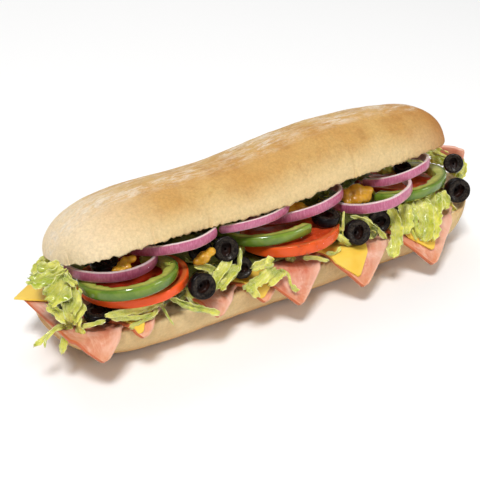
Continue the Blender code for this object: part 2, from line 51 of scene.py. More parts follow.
roll = {
    "baseLength": 300.0, "baseWidth": 79.0, "baseHeight": 26.0, "baseBlunt": 10.0,
    "baseSquare": 0.78, "baseFill": (0.62, 0.85),
    "lipStart": 122.0, "lipLength": 26.0, "lipHeight": 11.0,
    "crownLength": 277.0, "crownWidth": 67.0, "crownHeight": 29.5, "crownBlunt": 7.3,
    "crownSquare": 0.87, "crownFill": (1.0, 0.75), "crownCentre": (-4.8, 0.1, 62.9),
    "crownTilt": -11.8, "crownSlope": 1.6, "crownBow": 2.0, "crownBowLength": 150.0,
    "swell": (0.20, 0.0, 0.05), "waist": (-0.085, 0.014, 0.012),
    "torn": 1.5, "creases": (-137.3, -135.6, -134.4, -92.0, -58.0, 46.0),
}
layers = {
    "gap": 0.35, "pressStart": -36.0, "pressRate": 0.0052, "edgeY": -38.5, "edgeRadius": 4.0,
    "edgeAngle": math.radians(52), "lean": 0.055, "ham": 1.5, "cheese": 1.7,
}


def ease(value):
    value = min(max(value, 0.0), 1.0)
    return value * value * (3 - 2 * value)


def wave(x, y=0.0, z=0.0):   # smooth noise, about -1 to 1
    return noise.noise(Vector((x, y, z)))


def toFrame(point):
    return Vector((point[0] * mm + rollX, point[1] * mm + rollY, point[2] * mm))


def floorHeight(x):
    return roll["baseHeight"] + roll["lipHeight"] * ease((x - roll["lipStart"]) / roll["lipLength"])


def press(x, y, z):   # the crown presses the filling thinner towards the back
    base = roll["baseHeight"]
    if z <= base:
        return (x, y, z)
    keep = 1 - layers["pressRate"] * max(y - layers["pressStart"], -12.0)
    return (x, y, base + (z - base) * keep)


def tiltPoint(point, tilt, slope, centre):
    x, y, z = point
    a = math.radians(tilt)
    b = math.radians(slope)
    y, z = y * math.cos(a) - z * math.sin(a), y * math.sin(a) + z * math.cos(a)
    x, z = x * math.cos(b) - z * math.sin(b), x * math.sin(b) + z * math.cos(b)
    return (x + centre[0], y + centre[1], z + centre[2])


# ---- working with pieces

def deselect():
    for thing in list(bpy.context.selected_objects):
        thing.select_set(False)


def activate(piece):
    deselect()
    piece.select_set(True)
    bpy.context.view_layer.objects.active = piece


def closeUp(piece, merge=0.000002):   # join the seams and turn the faces outwards
    activate(piece)
    bpy.ops.object.mode_set(mode="EDIT")
    bpy.ops.mesh.select_all(action="SELECT")
    bpy.ops.mesh.remove_doubles(threshold=merge)
    bpy.ops.mesh.normals_make_consistent(inside=False)
    bpy.ops.object.mode_set(mode="OBJECT")
    bpy.ops.object.shade_smooth()


def shapedGrid(name, around, along, place):   # place(u, v) gives the point in millimetres
    deselect()
    bpy.ops.mesh.primitive_grid_add(x_subdivisions=around, y_subdivisions=along, size=2)
    piece = bpy.context.object
    piece.name = name
    for corner in piece.data.vertices:
        corner.co = toFrame(place((corner.co.x + 1) / 2, (corner.co.y + 1) / 2))
    closeUp(piece)
    return piece


def addModifier(piece, kind, **settings):
    modifier = piece.modifiers.new(kind.title(), kind)
    for key, value in settings.items():
        setattr(modifier, key, value)
    return modifier


def applyAll(piece):
    activate(piece)
    for modifier in list(piece.modifiers):
        bpy.ops.object.modifier_apply(modifier=modifier.name)


def joinAll(pieces, name):
    deselect()
    for piece in pieces:
        piece.select_set(True)
    bpy.context.view_layer.objects.active = pieces[0]
    if len(pieces) > 1:
        bpy.ops.object.join()
    pieces[0].name = name
    return pieces[0]


def dress(piece, finishes, slot, *nodes):
    piece.data.materials.clear()
    for one in finishes:
        piece.data.materials.append(one)
    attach(piece, "root")
    if nodes:
        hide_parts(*nodes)


def paintWhere(piece, index, test):   # gives the faces whose middle (u, v) passes the test a finish
    marks = piece.data.uv_layers[0].data
    for face in piece.data.polygons:
        spots = [marks[loop].uv for loop in face.loop_indices]
        u = sum(spot[0] for spot in spots) / len(spots)
        v = sum(spot[1] for spot in spots) / len(spots)
        if test(u, v):
            face.material_index = index


# ---- finishes

def newFinish(name, roughness, **sockets):
    material = bpy.data.materials.new(name)
    material.use_nodes = True
    tree = material.node_tree
    shader = tree.nodes["Principled BSDF"]
    shader.inputs["Roughness"].default_value = roughness
    for key, value in sockets.items():
        shader.inputs[key.replace("_", " ")].default_value = value
    return material, tree, shader


def addNode(tree, kind, inputs=None, **settings):
    node = tree.nodes.new(kind)
    for key, value in settings.items():
        setattr(node, key, value)
    for key, value in (inputs or {}).items():
        if hasattr(value, "is_output"):
            tree.links.new(value, node.inputs[key])
        else:
            node.inputs[key].default_value = value
    return node


def place3d(tree, stretch=(1, 1, 1)):
    spot = addNode(tree, "ShaderNodeTexCoord").outputs["Object"]
    return addNode(tree, "ShaderNodeMapping", {"Vector": spot, "Scale": stretch}).outputs["Vector"]


def grain(tree, where, scale, detail=3.0, rough=0.55, warp=0.0):
    inputs = {"Vector": where, "Scale": scale, "Detail": detail, "Roughness": rough, "Distortion": warp}
    return addNode(tree, "ShaderNodeTexNoise", inputs).outputs["Fac"]


def band(tree, value, stops, smooth=False):
    ramp = addNode(tree, "ShaderNodeValToRGB", {"Fac": value})
    ramp.color_ramp.interpolation = "EASE" if smooth else "LINEAR"
    while len(ramp.color_ramp.elements) < len(stops):
        ramp.color_ramp.elements.new(0.5)
    for element, (at, colour) in zip(ramp.color_ramp.elements, stops):
        element.position = at
    for element, (at, colour) in zip(ramp.color_ramp.elements, stops):
        element.color = (*colour, 1.0) if isinstance(colour, tuple) else (colour, colour, colour, 1.0)
    return ramp.outputs["Color"]


def blend(tree, amount, first, second, mode="MIX"):
    inputs = {"Fac": amount, "Color1": first, "Color2": second}
    for key in ("Color1", "Color2"):
        if isinstance(inputs[key], tuple):
            inputs[key] = (*inputs[key], 1.0)
    return addNode(tree, "ShaderNodeMixRGB", inputs, blend_type=mode).outputs["Color"]


def sums(tree, how, first, second):
    return addNode(tree, "ShaderNodeMath", {0: first, 1: second}, operation=how).outputs["Value"]


def relief(tree, shader, height, depth, strength=1.0):   # depth in millimetres
    inputs = {"Height": height, "Distance": depth * mm, "Strength": strength}
    if shader.inputs["Normal"].is_linked:
        inputs["Normal"] = shader.inputs["Normal"].links[0].from_socket
    bump = addNode(tree, "ShaderNodeBump", inputs)
    tree.links.new(bump.outputs["Normal"], shader.inputs["Normal"])


def ownMap(tree):
    parts = addNode(tree, "ShaderNodeSeparateXYZ", {"Vector": addNode(tree, "ShaderNodeUVMap").outputs["UV"]})
    return parts.outputs["X"], parts.outputs["Y"]


# pale and tip are the colours of painted light on the crust's left end and painted shade on its right end
crustLook = {
    "cream": (0.77, 0.57, 0.285), "tan": (0.67, 0.43, 0.155), "gold": (0.58, 0.30, 0.075),
    "brown": (0.40, 0.17, 0.035), "flour": (0.88, 0.76, 0.60), "tip": (0.44, 0.155, 0.020),
    "pale": (0.93, 0.755, 0.50),
}


def crownFinish():
    look = crustLook
    material, tree, shader = newFinish("crownCrust", 0.66, Subsurface_Weight=0.05, Subsurface_Scale=0.003,
                                       Specular_IOR_Level=0.3)
    where = place3d(tree)
    along, round_ = ownMap(tree)
    colour = band(tree, round_, [(0.0, look["cream"]), (0.05, look["cream"]), (0.17, look["tan"]),
                                 (0.30, (0.66, 0.385, 0.125)), (0.46, look["tan"]), (0.66, look["tan"]),
                                 (0.78, look["cream"])])
    middle = band(tree, round_, [(0.04, 0.0), (0.16, 1.0), (0.60, 1.0), (0.74, 0.1)])
    bake = band(tree, grain(tree, where, 24, 3, 0.5, 0.4), [(0.40, 0.0), (0.64, 1.0)])
    colour = blend(tree, sums(tree, "MULTIPLY", sums(tree, "MULTIPLY", bake, middle), 0.75), colour, look["gold"])
    spots = band(tree, grain(tree, where, 95, 4, 0.6, 0.3), [(0.50, 0.0), (0.70, 1.0)])
    colour = blend(tree, sums(tree, "MULTIPLY", sums(tree, "MULTIPLY", spots, middle), 0.46), colour, look["brown"])
    # painted light and shade: the crust is painted paler towards the left end, as if lit by the key light, and darker
    # towards the right end as painted shade
    colour = blend(tree, band(tree, along, [(0.0, 0.95), (0.14, 0.85), (0.30, 0.0)]), colour, look["pale"])
    colour = blend(tree, band(tree, along, [(0.70, 0.0), (0.83, 0.65), (0.92, 1.0)]), colour, look["tip"])
    streaks = place3d(tree, (0.30, 1, 1))
    flour = band(tree, grain(tree, streaks, 260, 6, 0.78, 0.5), [(0.44, 0.0), (0.62, 1.0)])
    patches = band(tree, grain(tree, place3d(tree, (0.6, 1, 1)), 42, 2, 0.5), [(0.36, 0.35), (0.58, 1.0)])
    ridge = band(tree, round_, [(0.26, 0.0), (0.33, 1.0), (0.44, 1.0), (0.56, 0.0)])
    dusting = sums(tree, "MULTIPLY", sums(tree, "MULTIPLY", flour, patches), ridge)
    colour = blend(tree, dusting, colour, look["flour"])
    cells = addNode(tree, "ShaderNodeTexVoronoi", {"Vector": where, "Scale": 420.0}, feature="DISTANCE_TO_EDGE")
    crackle = band(tree, cells.outputs["Distance"], [(0.0, 0.0), (0.12, 1.0)])
    colour = blend(tree, 0.09, colour, blend(tree, crackle, (0.55, 0.40, 0.25), (1.0, 1.0, 1.0)), "MULTIPLY")
    fine = grain(tree, where, 560, 5, 0.72)
    colour = blend(tree, 0.60, colour, band(tree, fine, [(0.30, 0.66), (0.64, 1.0)]), "MULTIPLY")
    tree.links.new(colour, shader.inputs["Base Color"])
    relief(tree, shader, grain(tree, where, 900, 5, 0.75), 0.4, 0.75)
    relief(tree, shader, grain(tree, where, 260, 3, 0.6, 0.8), 0.6, 0.4)
    relief(tree, shader, grain(tree, where, 60, 2, 0.5), 2.0, 0.4)
    return material


def baseFinish():
    material, tree, shader = newFinish("baseCrust", 0.66, Subsurface_Weight=0.05, Subsurface_Scale=0.003,
                                       Specular_IOR_Level=0.3)
    where = place3d(tree)
    along, round_ = ownMap(tree)
    pale = (0.82, 0.61, 0.31)
    colour = band(tree, round_, [(0.0, pale), (0.10, pale), (0.155, (0.72, 0.43, 0.17)), (0.20, (0.60, 0.30, 0.08)),
                                 (0.60, (0.60, 0.30, 0.08)), (0.655, (0.72, 0.43, 0.17)), (0.71, pale)])
    mottle = band(tree, grain(tree, where, 45, 4, 0.6, 0.4), [(0.40, 0.0), (0.68, 1.0)])
    colour = blend(tree, sums(tree, "MULTIPLY", mottle, 0.55), colour, (0.70, 0.43, 0.17))
    colour = blend(tree, band(tree, along, [(0.78, 0.0), (0.90, 0.6), (1.0, 0.9)]), colour, (0.58, 0.32, 0.10))
    fine = grain(tree, where, 560, 5, 0.72)
    colour = blend(tree, 0.5, colour, band(tree, fine, [(0.30, 0.60), (0.70, 1.0)]), "MULTIPLY")
    tree.links.new(colour, shader.inputs["Base Color"])
    relief(tree, shader, grain(tree, where, 800, 5, 0.75), 0.4, 0.8)
    relief(tree, shader, grain(tree, where, 220, 3, 0.6, 0.8), 0.8, 0.5)
    return material


def crumbFinish():
    material, tree, shader = newFinish("crumb", 0.8, Subsurface_Weight=0.1, Subsurface_Scale=0.004,
                                       Specular_IOR_Level=0.25)
    where = place3d(tree)
    cells = addNode(tree, "ShaderNodeTexVoronoi", {"Vector": where, "Scale": 330.0, "Randomness": 1.0})
    pores = band(tree, cells.outputs["Distance"], [(0.10, 0.35), (0.42, 1.0)])
    big = band(tree, grain(tree, where, 150, 4, 0.6, 1.0), [(0.36, 0.62), (0.56, 1.0)])
    holes = blend(tree, 1.0, pores, big, "MULTIPLY")
    colour = blend(tree, 1.0, (0.84, 0.66, 0.40), blend(tree, 0.6, (1.0, 1.0, 1.0), holes), "MULTIPLY")
    tree.links.new(colour, shader.inputs["Base Color"])
    relief(tree, shader, pores, 0.9, 0.8)
    relief(tree, shader, grain(tree, where, 420, 4, 0.7, 0.6), 0.6, 0.7)
    return material


def hamFinish():
    # v of the map runs round the slice: underside, rounded fold, top, cut edge
    material, tree, shader = newFinish("ham", 0.40, Subsurface_Weight=0.14, Subsurface_Scale=0.003,
                                       Coat_Weight=0.16, Coat_Roughness=0.22, Specular_IOR_Level=0.35)
    shader.inputs["Subsurface Radius"].default_value = (1.0, 0.35, 0.2)
    where = place3d(tree)
    along, round_ = ownMap(tree)
    flesh = band(tree, grain(tree, where, 70, 5, 0.62, 0.8),
                 [(0.30, (0.58, 0.145, 0.075)), (0.50, (0.67, 0.275, 0.165)), (0.70, (0.79, 0.46, 0.34))])
    fat = band(tree, grain(tree, place3d(tree, (1, 0.35, 1)), 140, 4, 0.6, 1.5), [(0.54, 0.0), (0.66, 1.0)])
    colour = blend(tree, sums(tree, "MULTIPLY", fat, 0.4), flesh, (0.86, 0.60, 0.47))
    fibres = addNode(tree, "ShaderNodeMapping", {"Vector": addNode(tree, "ShaderNodeUVMap").outputs["UV"],
                                                 "Scale": (0.10, 1.0, 1.0)}).outputs["Vector"]
    streaks = band(tree, grain(tree, fibres, 46, 4, 0.65, 0.3), [(0.46, 0.0), (0.68, 1.0)])
    colour = blend(tree, sums(tree, "MULTIPLY", streaks, 0.24), colour, (0.86, 0.56, 0.43))
    # painted highlight: a pale band along the rounded fold, where light catches its curve
    fold = band(tree, round_, [(0.40, 0.0), (0.46, 0.75), (0.56, 0.55), (0.64, 0.0)])
    colour = blend(tree, fold, colour, (0.80, 0.50, 0.38))
    tipped = sums(tree, "MULTIPLY", band(tree, along, [(0.0, 0.8), (0.25, 0.0)]), 0.6)
    colour = blend(tree, tipped, colour, (0.74, 0.30, 0.12))
    cut = band(tree, round_, [(0.875, 0.0), (0.905, 1.0), (1.0, 1.0)])
    colour = blend(tree, cut, colour, (0.56, 0.135, 0.04))
    tree.links.new(colour, shader.inputs["Base Color"])
    relief(tree, shader, grain(tree, where, 520, 4, 0.65), 0.25, 0.5)
    relief(tree, shader, grain(tree, where, 130, 3, 0.5, 0.5), 0.6, 0.5)
    return material


def cheeseFinish():
    material, tree, shader = newFinish("cheese", 0.40, Subsurface_Weight=0.2, Subsurface_Scale=0.004,
                                       Coat_Weight=0.04, Coat_Roughness=0.3, Specular_IOR_Level=0.18)
    shader.inputs["Subsurface Radius"].default_value = (1.0, 0.6, 0.15)
    where = place3d(tree)
    along, round_ = ownMap(tree)
    colour = band(tree, grain(tree, where, 60, 3, 0.5), [(0.30, (0.82, 0.48, 0.040)), (0.70, (0.90, 0.61, 0.10))])
    edge = band(tree, round_, [(0.40, 0.0), (0.45, 0.8), (0.53, 0.5), (0.56, 0.0), (0.90, 0.0), (0.93, 0.8), (1.0, 0.8)])
    colour = blend(tree, edge, colour, (0.92, 0.64, 0.10))
    tree.links.new(colour, shader.inputs["Base Color"])
    relief(tree, shader, grain(tree, where, 300, 3, 0.6), 0.15, 0.4)
    relief(tree, shader, grain(tree, where, 40, 2, 0.5), 0.8, 0.3)
    return material


def tomatoFinish(name, skin, flesh):
    material, tree, shader = newFinish(name, 0.24, Subsurface_Weight=0.08, Subsurface_Scale=0.002,
                                       Coat_Weight=0.35, Coat_Roughness=0.05, Specular_IOR_Level=0.15)
    shader.inputs["Subsurface Radius"].default_value = (1.0, 0.25, 0.1)
    where = place3d(tree)
    along, round_ = ownMap(tree)
    pulp = band(tree, grain(tree, where, 130, 4, 0.6, 0.8), [(0.30, flesh), (0.72, tuple(part * 1.7 for part in flesh))])
    pale = tuple(min(1.0, part * 1.12 + 0.008) for part in skin)
    skinTone = band(tree, grain(tree, where, 90, 3, 0.55), [(0.30, skin), (0.72, pale)])
    side = band(tree, round_, [(0.385, 0.0), (0.415, 1.0), (0.60, 1.0), (0.63, 0.0)])
    colour = blend(tree, side, pulp, skinTone)
    line = band(tree, round_, [(0.355, 0.0), (0.375, 0.6), (0.395, 0.6), (0.42, 0.0)])
    colour = blend(tree, line, colour, (0.86, 0.22, 0.055))
    tree.links.new(colour, shader.inputs["Base Color"])
    relief(tree, shader, grain(tree, where, 330, 3, 0.6), 0.35, 0.5)
    relief(tree, shader, grain(tree, where, 150, 2, 0.5), 0.5, 0.3)
    return material


def pepperFinish():
    material, tree, shader = newFinish("pepper", 0.26, Subsurface_Weight=0.05, Subsurface_Scale=0.002,
                                       Coat_Weight=0.7, Coat_Roughness=0.09, Specular_IOR_Level=0.2)
    where = place3d(tree)
    along, round_ = ownMap(tree)
    skin = band(tree, grain(tree, where, 75, 4, 0.6, 0.5), [(0.28, (0.055, 0.145, 0.010)), (0.72, (0.23, 0.32, 0.030))])
    # painted shade: the skin side is painted darker towards its lower part
    low = band(tree, round_, [(0.12, 0.0), (0.34, 0.7)])
    skin = blend(tree, low, skin, (0.045, 0.11, 0.012))
    inside = band(tree, grain(tree, where, 110, 4, 0.6, 0.5), [(0.30, (0.34, 0.40, 0.045)), (0.72, (0.60, 0.62, 0.13))])
    amount = band(tree, round_, [(0.0, 0.0), (0.36, 0.0), (0.41, 1.0), (0.94, 1.0), (0.985, 0.25), (1.0, 0.0)])
    colour = blend(tree, amount, skin, inside)
    tree.links.new(colour, shader.inputs["Base Color"])
    relief(tree, shader, grain(tree, where, 380, 3, 0.6), 0.25, 0.5)
    relief(tree, shader, grain(tree, where, 120, 2, 0.5), 0.7, 0.4)
    return material


def onionFinish(name, deep, middle, light, rim):
    material, tree, shader = newFinish(name, 0.28, Subsurface_Weight=0.12, Subsurface_Scale=0.002,
                                       Coat_Weight=0.25, Coat_Roughness=0.1, Specular_IOR_Level=0.35)
    where = place3d(tree)
    along, round_ = ownMap(tree)
    fine = addNode(tree, "ShaderNodeMapping", {"Vector": addNode(tree, "ShaderNodeUVMap").outputs["UV"],
                                               "Scale": (1.0, 0.05, 1.0)}).outputs["Vector"]
    stripes = grain(tree, fine, 105, 3, 0.6)
    outer = band(tree, stripes, [(0.12, deep), (0.50, middle), (0.92, light)])
    patches = band(tree, grain(tree, where, 45, 3, 0.5), [(0.35, 0.0), (0.70, 0.4)])
    outer = blend(tree, patches, outer, light)
    inner = band(tree, stripes, [(0.30, tuple(part * 0.72 for part in rim)), (0.70, rim)])
    amount = band(tree, round_, [(0.0, 0.6), (0.035, 0.0), (0.34, 0.0), (0.42, 0.9), (0.52, 0.45), (0.86, 0.45), (0.90, 1.0), (1.0, 0.9)])
    colour = blend(tree, amount, outer, inner)
    tree.links.new(colour, shader.inputs["Base Color"])
    relief(tree, shader, stripes, 0.2, 0.35)
    return material


def oliveFinish():
    material, tree, shader = newFinish("olive", 0.24, Coat_Weight=0.10, Coat_Roughness=0.06, Specular_IOR_Level=0.07)
    where = place3d(tree)
    along, round_ = ownMap(tree)
    dark = band(tree, grain(tree, where, 260, 4, 0.6), [(0.35, (0.004, 0.003, 0.004)), (0.75, (0.014, 0.010, 0.009))])
    face = band(tree, grain(tree, where, 700, 4, 0.7), [(0.38, (0.006, 0.005, 0.005)), (0.75, (0.060, 0.044, 0.032))])
    cut = band(tree, round_, [(0.28, 0.0), (0.33, 0.8), (0.45, 0.8), (0.50, 0.1), (0.80, 0.1), (0.84, 1.0), (0.955, 1.0), (0.985, 0.0)])
    colour = blend(tree, cut, dark, face)
    # painted shade: the inside of the hole is painted dark reddish brown
    hole = band(tree, round_, [(0.48, 0.0), (0.56, 1.0), (0.74, 1.0), (0.80, 0.0)])
    colour = blend(tree, sums(tree, "MULTIPLY", hole, 0.75), colour, (0.035, 0.011, 0.006))
    tree.links.new(colour, shader.inputs["Base Color"])
    relief(tree, shader, grain(tree, where, 600, 4, 0.7), 0.35, 0.6)
    return material


def mustardFinish():
    material, tree, shader = newFinish("mustard", 0.26, Subsurface_Weight=0.15, Subsurface_Scale=0.003,
                                       Coat_Weight=0.3, Coat_Roughness=0.08, Specular_IOR_Level=0.35)
    where = place3d(tree)
    colour = band(tree, grain(tree, where, 150, 4, 0.6), [(0.30, (0.50, 0.215, 0.012)), (0.70, (0.78, 0.43, 0.030))])
    tree.links.new(colour, shader.inputs["Base Color"])
    relief(tree, shader, grain(tree, where, 300, 3, 0.6), 0.5, 0.5)
    return material


def lettuceFinish(name, deep, bright, rib):
    material, tree, shader = newFinish(name, 0.30, Subsurface_Weight=0.25, Subsurface_Scale=0.003,
                                       Coat_Weight=0.4, Coat_Roughness=0.1, Specular_IOR_Level=0.35)
    shader.inputs["Subsurface Radius"].default_value = (0.8, 1.0, 0.2)
    where = place3d(tree)
    across, along = ownMap(tree)
    colour = band(tree, grain(tree, where, 75, 4, 0.6, 0.8), [(0.36, deep), (0.60, bright)])
    strands = addNode(tree, "ShaderNodeMapping", {"Vector": addNode(tree, "ShaderNodeUVMap").outputs["UV"],
                                                  "Scale": (7.0, 1.3, 1.0)}).outputs["Vector"]
    ribs = band(tree, grain(tree, strands, 1.4, 3, 0.6, 1.2), [(0.50, 0.0), (0.66, 1.0)])
    colour = blend(tree, sums(tree, "MULTIPLY", ribs, 0.5), colour, rib)
    vein = addNode(tree, "ShaderNodeTexVoronoi", {"Vector": where, "Scale": 300.0}, feature="DISTANCE_TO_EDGE")
    lines = band(tree, vein.outputs["Distance"], [(0.0, 1.0), (0.07, 0.0)])
    colour = blend(tree, sums(tree, "MULTIPLY", lines, 0.25), colour, rib)
    rim = band(tree, across, [(0.0, 0.5), (0.07, 0.0), (0.93, 0.0), (1.0, 0.5)])
    colour = blend(tree, rim, colour, rib)
    tree.links.new(colour, shader.inputs["Base Color"])
    relief(tree, shader, ribs, 0.6, 0.5)
    relief(tree, shader, lines, 0.3, 0.5)
    relief(tree, shader, grain(tree, where, 340, 3, 0.6), 0.3, 0.4)
    return material


def waterFinish():
    material, tree, shader = newFinish("water", 0.06, IOR=1.4, Transmission_Weight=1.0)
    cloudy = band(tree, grain(tree, place3d(tree), 400, 2, 0.5), [(0.3, (0.93, 0.96, 0.93)), (0.7, (1.0, 1.0, 1.0))])
    tree.links.new(cloudy, shader.inputs["Base Color"])
    return material


# ---- the roll

def loafSection(part, u, v):
    # v up to 0.8 goes over the crust from front to back, then the cut face comes back
    isBase = part == "base"
    s = math.sin((u - 0.5) * math.pi)
    blunt = roll[part + "Blunt"]
    fill = roll[part + "Fill"][1 if s > 0 else 0]
    square = roll[part + "Square"]
    wide = (1 - min(abs(s), 1.0) ** blunt) ** (1 / 2.2)
    tall = (1 - min(abs(s), 1.0) ** (blunt * fill)) ** 0.5
    if not isBase:
        wide *= 1 + roll["waist"][0] * s + roll["waist"][1] * math.cos(2 * math.pi * s)
        wide *= 1 + roll["waist"][2] * math.sin(2 * math.pi * s)
        tall *= 1 + roll["swell"][0] * s + roll["swell"][1] * math.cos(2 * math.pi * s)
        tall *= 1 + roll["swell"][2] * math.sin(2 * math.pi * s)
    half = wide * roll[part + "Width"] / 2
    x = s * roll[part + "Length"] / 2
    lift = floorHeight(x) - roll["baseHeight"] if isBase else 0.0
    deep = roll[part + "Height"] + lift
    rim = rimWave(x) if not isBase else lift
    if v <= 0.8:
        turn = math.pi * v / 0.8
        across = -math.copysign(abs(math.cos(turn)) ** square, math.cos(turn))
        rise = abs(math.sin(turn)) ** square * tall
        nearRim = math.exp(-(min(turn, math.pi - turn) / 0.16) ** 2)
    else:
        across = 1 - 2 * (v - 0.8) / 0.2
        rise = 0.0
        nearRim = math.exp(-((1 - abs(across)) / 0.05) ** 2)
    y = across * half
    seed = 7.0 if isBase else 0.0
    torn = 0.8 * wave(x * 0.16, seed, y * 0.02) + 1.1 * wave(x * 0.47, seed + 3, y * 0.05)
    torn = roll["torn"] * (torn + 0.5 * wave(x * 1.1, seed + 6, y * 0.05)) * nearRim * min(1.0, half / 8)
    if v <= 0.8:
        swellOut = 0.55 * wave(x / 26, y / 22, seed + 5) + 0.22 * wave(x / 8, y / 8, rise * 3 + seed)
        swellOut += 0.08 * wave(x / 2.6, y / 2.6, rise * 9 + seed)
        swellOut *= 1 - nearRim
        if not isBase:
            for number, crease in enumerate(roll["creases"]):
                place = crease + (0.5 if x < -125 else 1.5) * wave(turn * 2.5, number * 3.0)
                deepness = math.exp(-((x - place) / (0.35 if x < -125 else 1.3)) ** 2) * math.exp(-(turn / (0.35 + 0.12 * (number % 3))) ** 2)
                swellOut -= 1.3 * deepness
        y += across * swellOut
        z = deep * rise + swellOut * rise
        if isBase:
            z = lift - min(z * 1.05, deep)
        else:
            z += rim * (1 - rise)
        z += torn * 0.8
        y += torn * 0.35 * (-1 if across < 0 else 1)
    else:
        hollow = 0.5 * wave(x / 6, y / 6, seed + 2) + 0.25 * wave(x / 2, y / 2, seed)
        z = rim + hollow * min(1.0, half / 8) * (1 - nearRim) + torn * 0.8
        y += torn * 0.35 * (-1 if across < 0 else 1)
    if isBase:
        z = max(z + roll["baseHeight"], 0.0)
        return (x, y, z)
    return tiltPoint((x, y, z), roll["crownTilt"], roll["crownSlope"], roll["crownCentre"])


def rimWave(x):
    fade = ease((x + 150) / 30) * (1 - ease((x - 20) / 50))
    return roll["crownBow"] * math.cos(2 * math.pi * (x + 90) / roll["crownBowLength"]) * fade


def makeRoll():
    crumb = crumbFinish()
    for part, node, crust in (("crown", "bread_top", crownFinish()), ("base", "bread_bottom", baseFinish())):
        piece = shapedGrid(part, 620, 140, lambda u, v: loafSection(part, u, v))
        dress(piece, [crust, crumb], "bread", node)
        paintWhere(piece, 1, lambda u, v: v > 0.804 and v < 0.996)


makeRoll()
print("stage: roll")


# ---- ham and cheese

# corner (x, reach), turn, right side, left side, leans up from, left limit
hamCards = {
    "ham_1": ((-140, 13), 50, 55, 66, -98, -152), "ham_2": ((-115, 8), 53, 40, 30, -65, None),
    "ham_3": ((-69, 11), 55, 45, 16, -28, None), "ham_4": ((-38, 12), 52, 42, 26, 5, None),
    "ham_5": ((-19, 20), 52, 52, 24, 75, None), "ham_6": ((28, 23), 54, 58, 44, 108, None),
    "ham_7": ((84, 25), 51, 60, 34, 141, None),
}
cheeseCards = {
    "cheese_2": ((-117, 5), 58, 34, 22, -32, None), "cheese_3": ((-40, 9), 55, 30, 35, 38, None),
    "cheese_4": ((26, 16), 45, 44, 44, 141, None), "cheese_5": ((87, 16), 40, 44, 32, 174, None),
}
endCheese = {"corners": ((-158, 19), (-136, -1), (-119, 13), (-141, 33)), "leanFrom": -60.0}
endHam = {"start": (140.5, 5.0), "end": (153.5, -11.5), "low": 50.5, "high": 57.5}


def hang(x, reach, rise):
    radius = layers["edgeRadius"]
    angle = layers["edgeAngle"]
    turn = min(max(reach / radius, 0.0), angle)
    y = layers["edgeY"] - min(reach, 0.0) - (radius + rise) * math.sin(turn)
    z = roll["baseHeight"] + layers["gap"] - radius + (radius + rise) * math.cos(turn)
    beyond = max(reach - radius * angle, 0.0)
    y -= beyond * math.cos(angle)
    z -= beyond * math.sin(angle)
    return press(x, y, z + floorHeight(x) - roll["baseHeight"])


def crossAt(start, end, reach):
    if abs(end[1] - start[1]) < 1e-9:
        return end[0]
    return start[0] + (reach - start[1]) / (end[1] - start[1]) * (end[0] - start[0])


def cardCorners(card):
    corner, turn, right, left, leanFrom, stop = card
    a = math.radians(turn)
    rightEnd = (corner[0] + right * math.sin(a), corner[1] - right * math.cos(a))
    leftEnd = (corner[0] - left * math.cos(a), corner[1] - left * math.sin(a))
    back = (rightEnd[0] - left * math.cos(a), rightEnd[1] - left * math.sin(a))
    return corner, rightEnd, leftEnd, back


def cardSpan(card, reach):
    corner, rightEnd, leftEnd, back = cardCorners(card)
    left = crossAt(corner, leftEnd, reach) if reach >= leftEnd[1] else crossAt(leftEnd, back, reach)
    right = crossAt(corner, rightEnd, reach) if reach >= rightEnd[1] else crossAt(rightEnd, back, reach)
    if card[5] is not None:
        left = max(left, card[5])
    return left, max(right, left + 0.05)


def cardPoint(card, thick, isHam, u, v):
    corner, rightEnd, leftEnd, back = cardCorners(card)
    blunt = 0.9 if isHam else 0.5
    reach = corner[1] - blunt - (corner[1] - back[1] - blunt - 0.5) * u ** 1.25
    left, right = cardSpan(card, reach)
    tip = 1 - min(1.0, (corner[1] - blunt - reach) / (1.3 * blunt))
    pull = (right - left) / 2 * (1 - math.sqrt(1 - tip * tip))
    left, right = left + pull, right - pull
    width = right - left
    seed = card[0][0] * 0.31
    if v < 0.42:
        share, level, out = v / 0.42, 0.0, 0.0
    elif v < 0.5:
        a = math.pi * (v - 0.42) / 0.08
        share, level, out = 1.0, (1 - math.cos(a)) / 2, math.sin(a)
    elif v < 0.92:
        share, level, out = 1 - (v - 0.5) / 0.42, 1.0, 0.0
    else:
        a = math.pi * (v - 0.92) / 0.08
        share, level, out = 0.0, (1 + math.cos(a)) / 2, -math.sin(a)
    share = 0.5 - 0.5 * math.cos(math.pi * share)
    x = left + width * share
    rounding = math.sqrt(min(1.0, u * 45, (1 - u) * 45))
    body = thick * min(1.0, width / 3.0 + 0.35) * (0.15 + 0.85 * rounding)
    if isHam:
        fold = math.exp(-((right - x) / 3.4) ** 2) * min(1.0, width / 8)
        cutSide = math.exp(-((x - left) / 4.0) ** 2) * (1 - ease(u * 1.6))
        body *= 1 + 0.95 * fold * rounding + 0.85 * cutSide * rounding
        x += out * (1.5 if out > 0 else 0.7) * rounding
    else:
        x += out * 0.25
    beyond = max(reach - layers["edgeRadius"] * layers["edgeAngle"], 0.0)
    ripple = 0.5 + 0.5 * wave(x / 11 + seed, reach / 13, 2.0)
    lift = (0.45 if isHam else 0.2) * ripple * min(1.0, width / 10)
    lift += 0.05 * beyond * (0.4 + wave(x / 9 + seed, 5.0, reach / 16))
    rise = layers["lean"] * max(card[4] - x, 0.0) + lift
    return hang(x, reach, rise + body * level)


